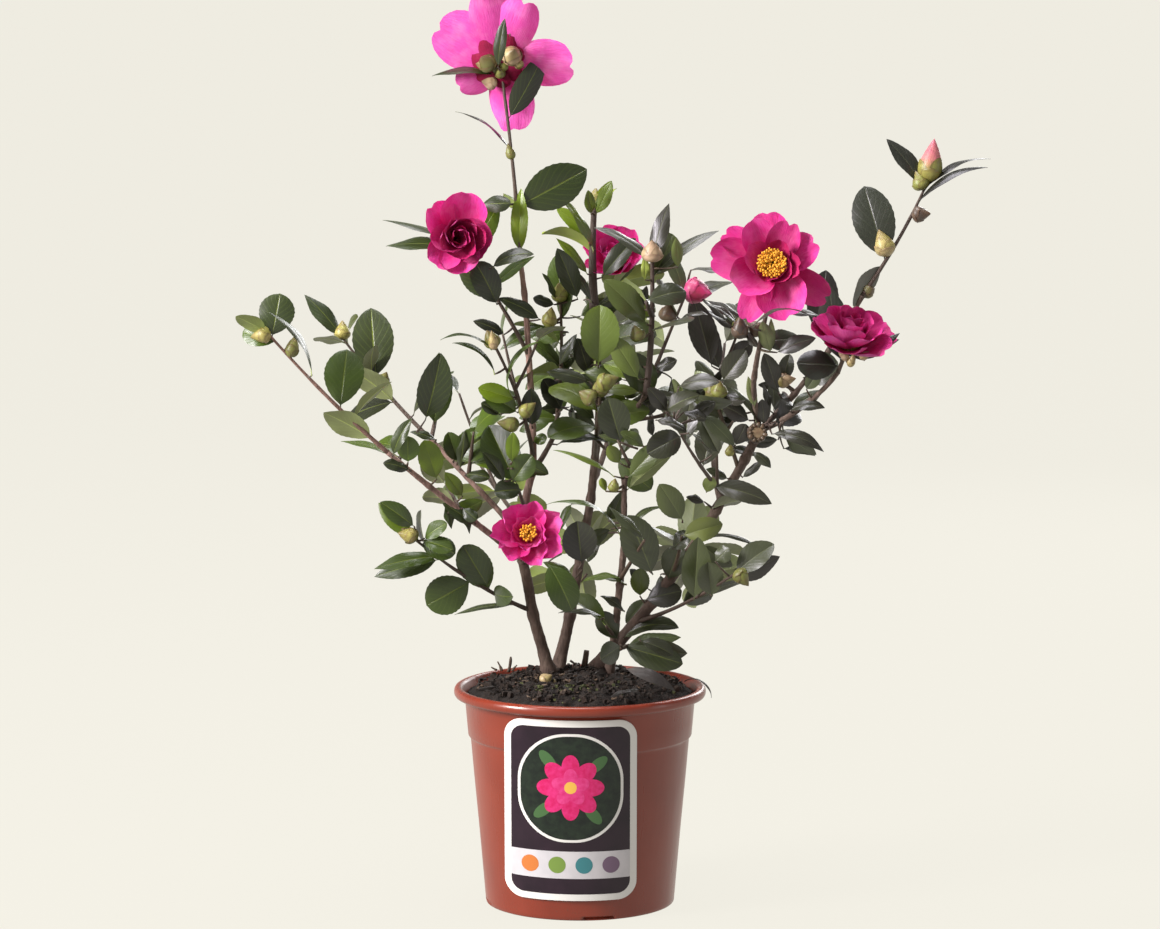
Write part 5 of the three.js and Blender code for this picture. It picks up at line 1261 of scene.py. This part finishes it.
# The drawn blossom: name, tint, number, first angle, reach across and up, half length and width, height off
for name, tint, count, first, across, up, a, b, off, *colours in [
        ("blades", "leaf", 4, 40, 26, 27, 9, 4.2, 1.18, "#46683e"),
        ("blossom", "pink", 8, 0, 15.5, 15.5, 9.5, 6.6, 1.24, "#ce1860", "#e03480", 240),
        ("inner", "rose", 5, 18, 7.5, 7.5, 7, 5.2, 1.31, "#e2468c", "#d42870", 240),
        ("hearts", "gold", 1, 0, 0, 0, 4.6, 4.6, 1.36, "#eeba54")]:
    pile = Pile()
    for k in range(count):
        turn = math.radians(first + 360 * k / count)
        cu, cv = MIDDLE_U + across * math.cos(turn), MIDDLE_V + up * math.sin(turn)
        disc(pile, cu, cv, a, b, turn, off + 0.006 * k)
    printed(name, pile, tint, *colours)
for k, tint in enumerate(("#ce783c", "#789246", "#408088", "#786078")):
    pile = Pile()
    disc(pile, MIDDLE_U - 30 + 20 * k, LOW + 27.5, 6.4, 6.4, 0, 1.15)
    printed(f"spot_{k}", pile, f"tint {k}", tint)

u, low, high = card_outline(LEFT, RIGHT, LOW, HIGH, CORNER)
loop = np.concatenate([u, u[::-1]]), np.concatenate([low, high[::-1]])
pile = Pile()
pile.add(np.stack([card_point(*loop, off) for off in (SHEET_OFF, -0.1)]), grid_faces(2, 120, closed=True))
printed("edge", pile, "cut", "#e8e4e2")

# Stage, camera and light

bpy.ops.mesh.primitive_plane_add(size=400, location=(0, 0, 0))
floor = bpy.context.active_object
floor.name = "floor"
floor.visible_diffuse = False
floor.data.materials.append(Look("floor", 0.9, Base_Color="#2a2927", Emission_Strength=0.945,
                                 Emission_Color="#f4f1e6", Specular_IOR_Level=0.0).material)

camera = bpy.data.objects.new("camera", bpy.data.cameras.new("camera"))
camera.data.lens = LENS
camera.data.sensor_width = SENSOR
camera.data.clip_end = 500
camera.location = EYE * MM
camera.rotation_euler = (math.radians(90 - DIP), 0, 0)
bpy.context.scene.collection.objects.link(camera)
bpy.context.scene.camera = camera

world = bpy.data.worlds.new("studio")
bpy.context.scene.world = world
world.use_nodes = True
sky = Nodes(world.node_tree)
height = sky.node("TexCoord", out="Generated").part(2)
sky.put(sky.tree.nodes["Background"].inputs[0], height.spread(-1, 1).ramp(
    (0.4, "#9e9c94"), (0.52, "#ece9de"), (0.68, "#92918e")))


def lamp(name, place, aim, size, power, colour=(1, 1, 1)):
    data = bpy.data.lights.new(name, "AREA")
    data.shape = "RECTANGLE"
    data.size, data.size_y = size
    data.energy = power
    data.color = colour
    light = bpy.data.objects.new(name, data)
    bpy.context.scene.collection.objects.link(light)
    light.location = place
    way = unit(np.subtract(aim, place))
    light.rotation_euler = (math.acos(-way[2]), 0, math.atan2(way[0], -way[1]) + math.pi)


lamp("key", (-2.3, -1.2, 1.4), (0, 0, 0.35), (0.8, 1.3), 145, (1, 0.98, 0.95))
lamp("strip", (2.4, -0.5, 0.6), (0, 0, 0.2), (0.25, 1.4), 4)
lamp("top", (-0.2, 0.1, 2.3), (0, 0, 0.3), (1.1, 1.1), 46)
lamp("back", (0.9, 2.1, 1.3), (0, 0, 0.4), (0.9, 1.4), 32)
bpy.context.scene.view_settings.view_transform = "Standard"
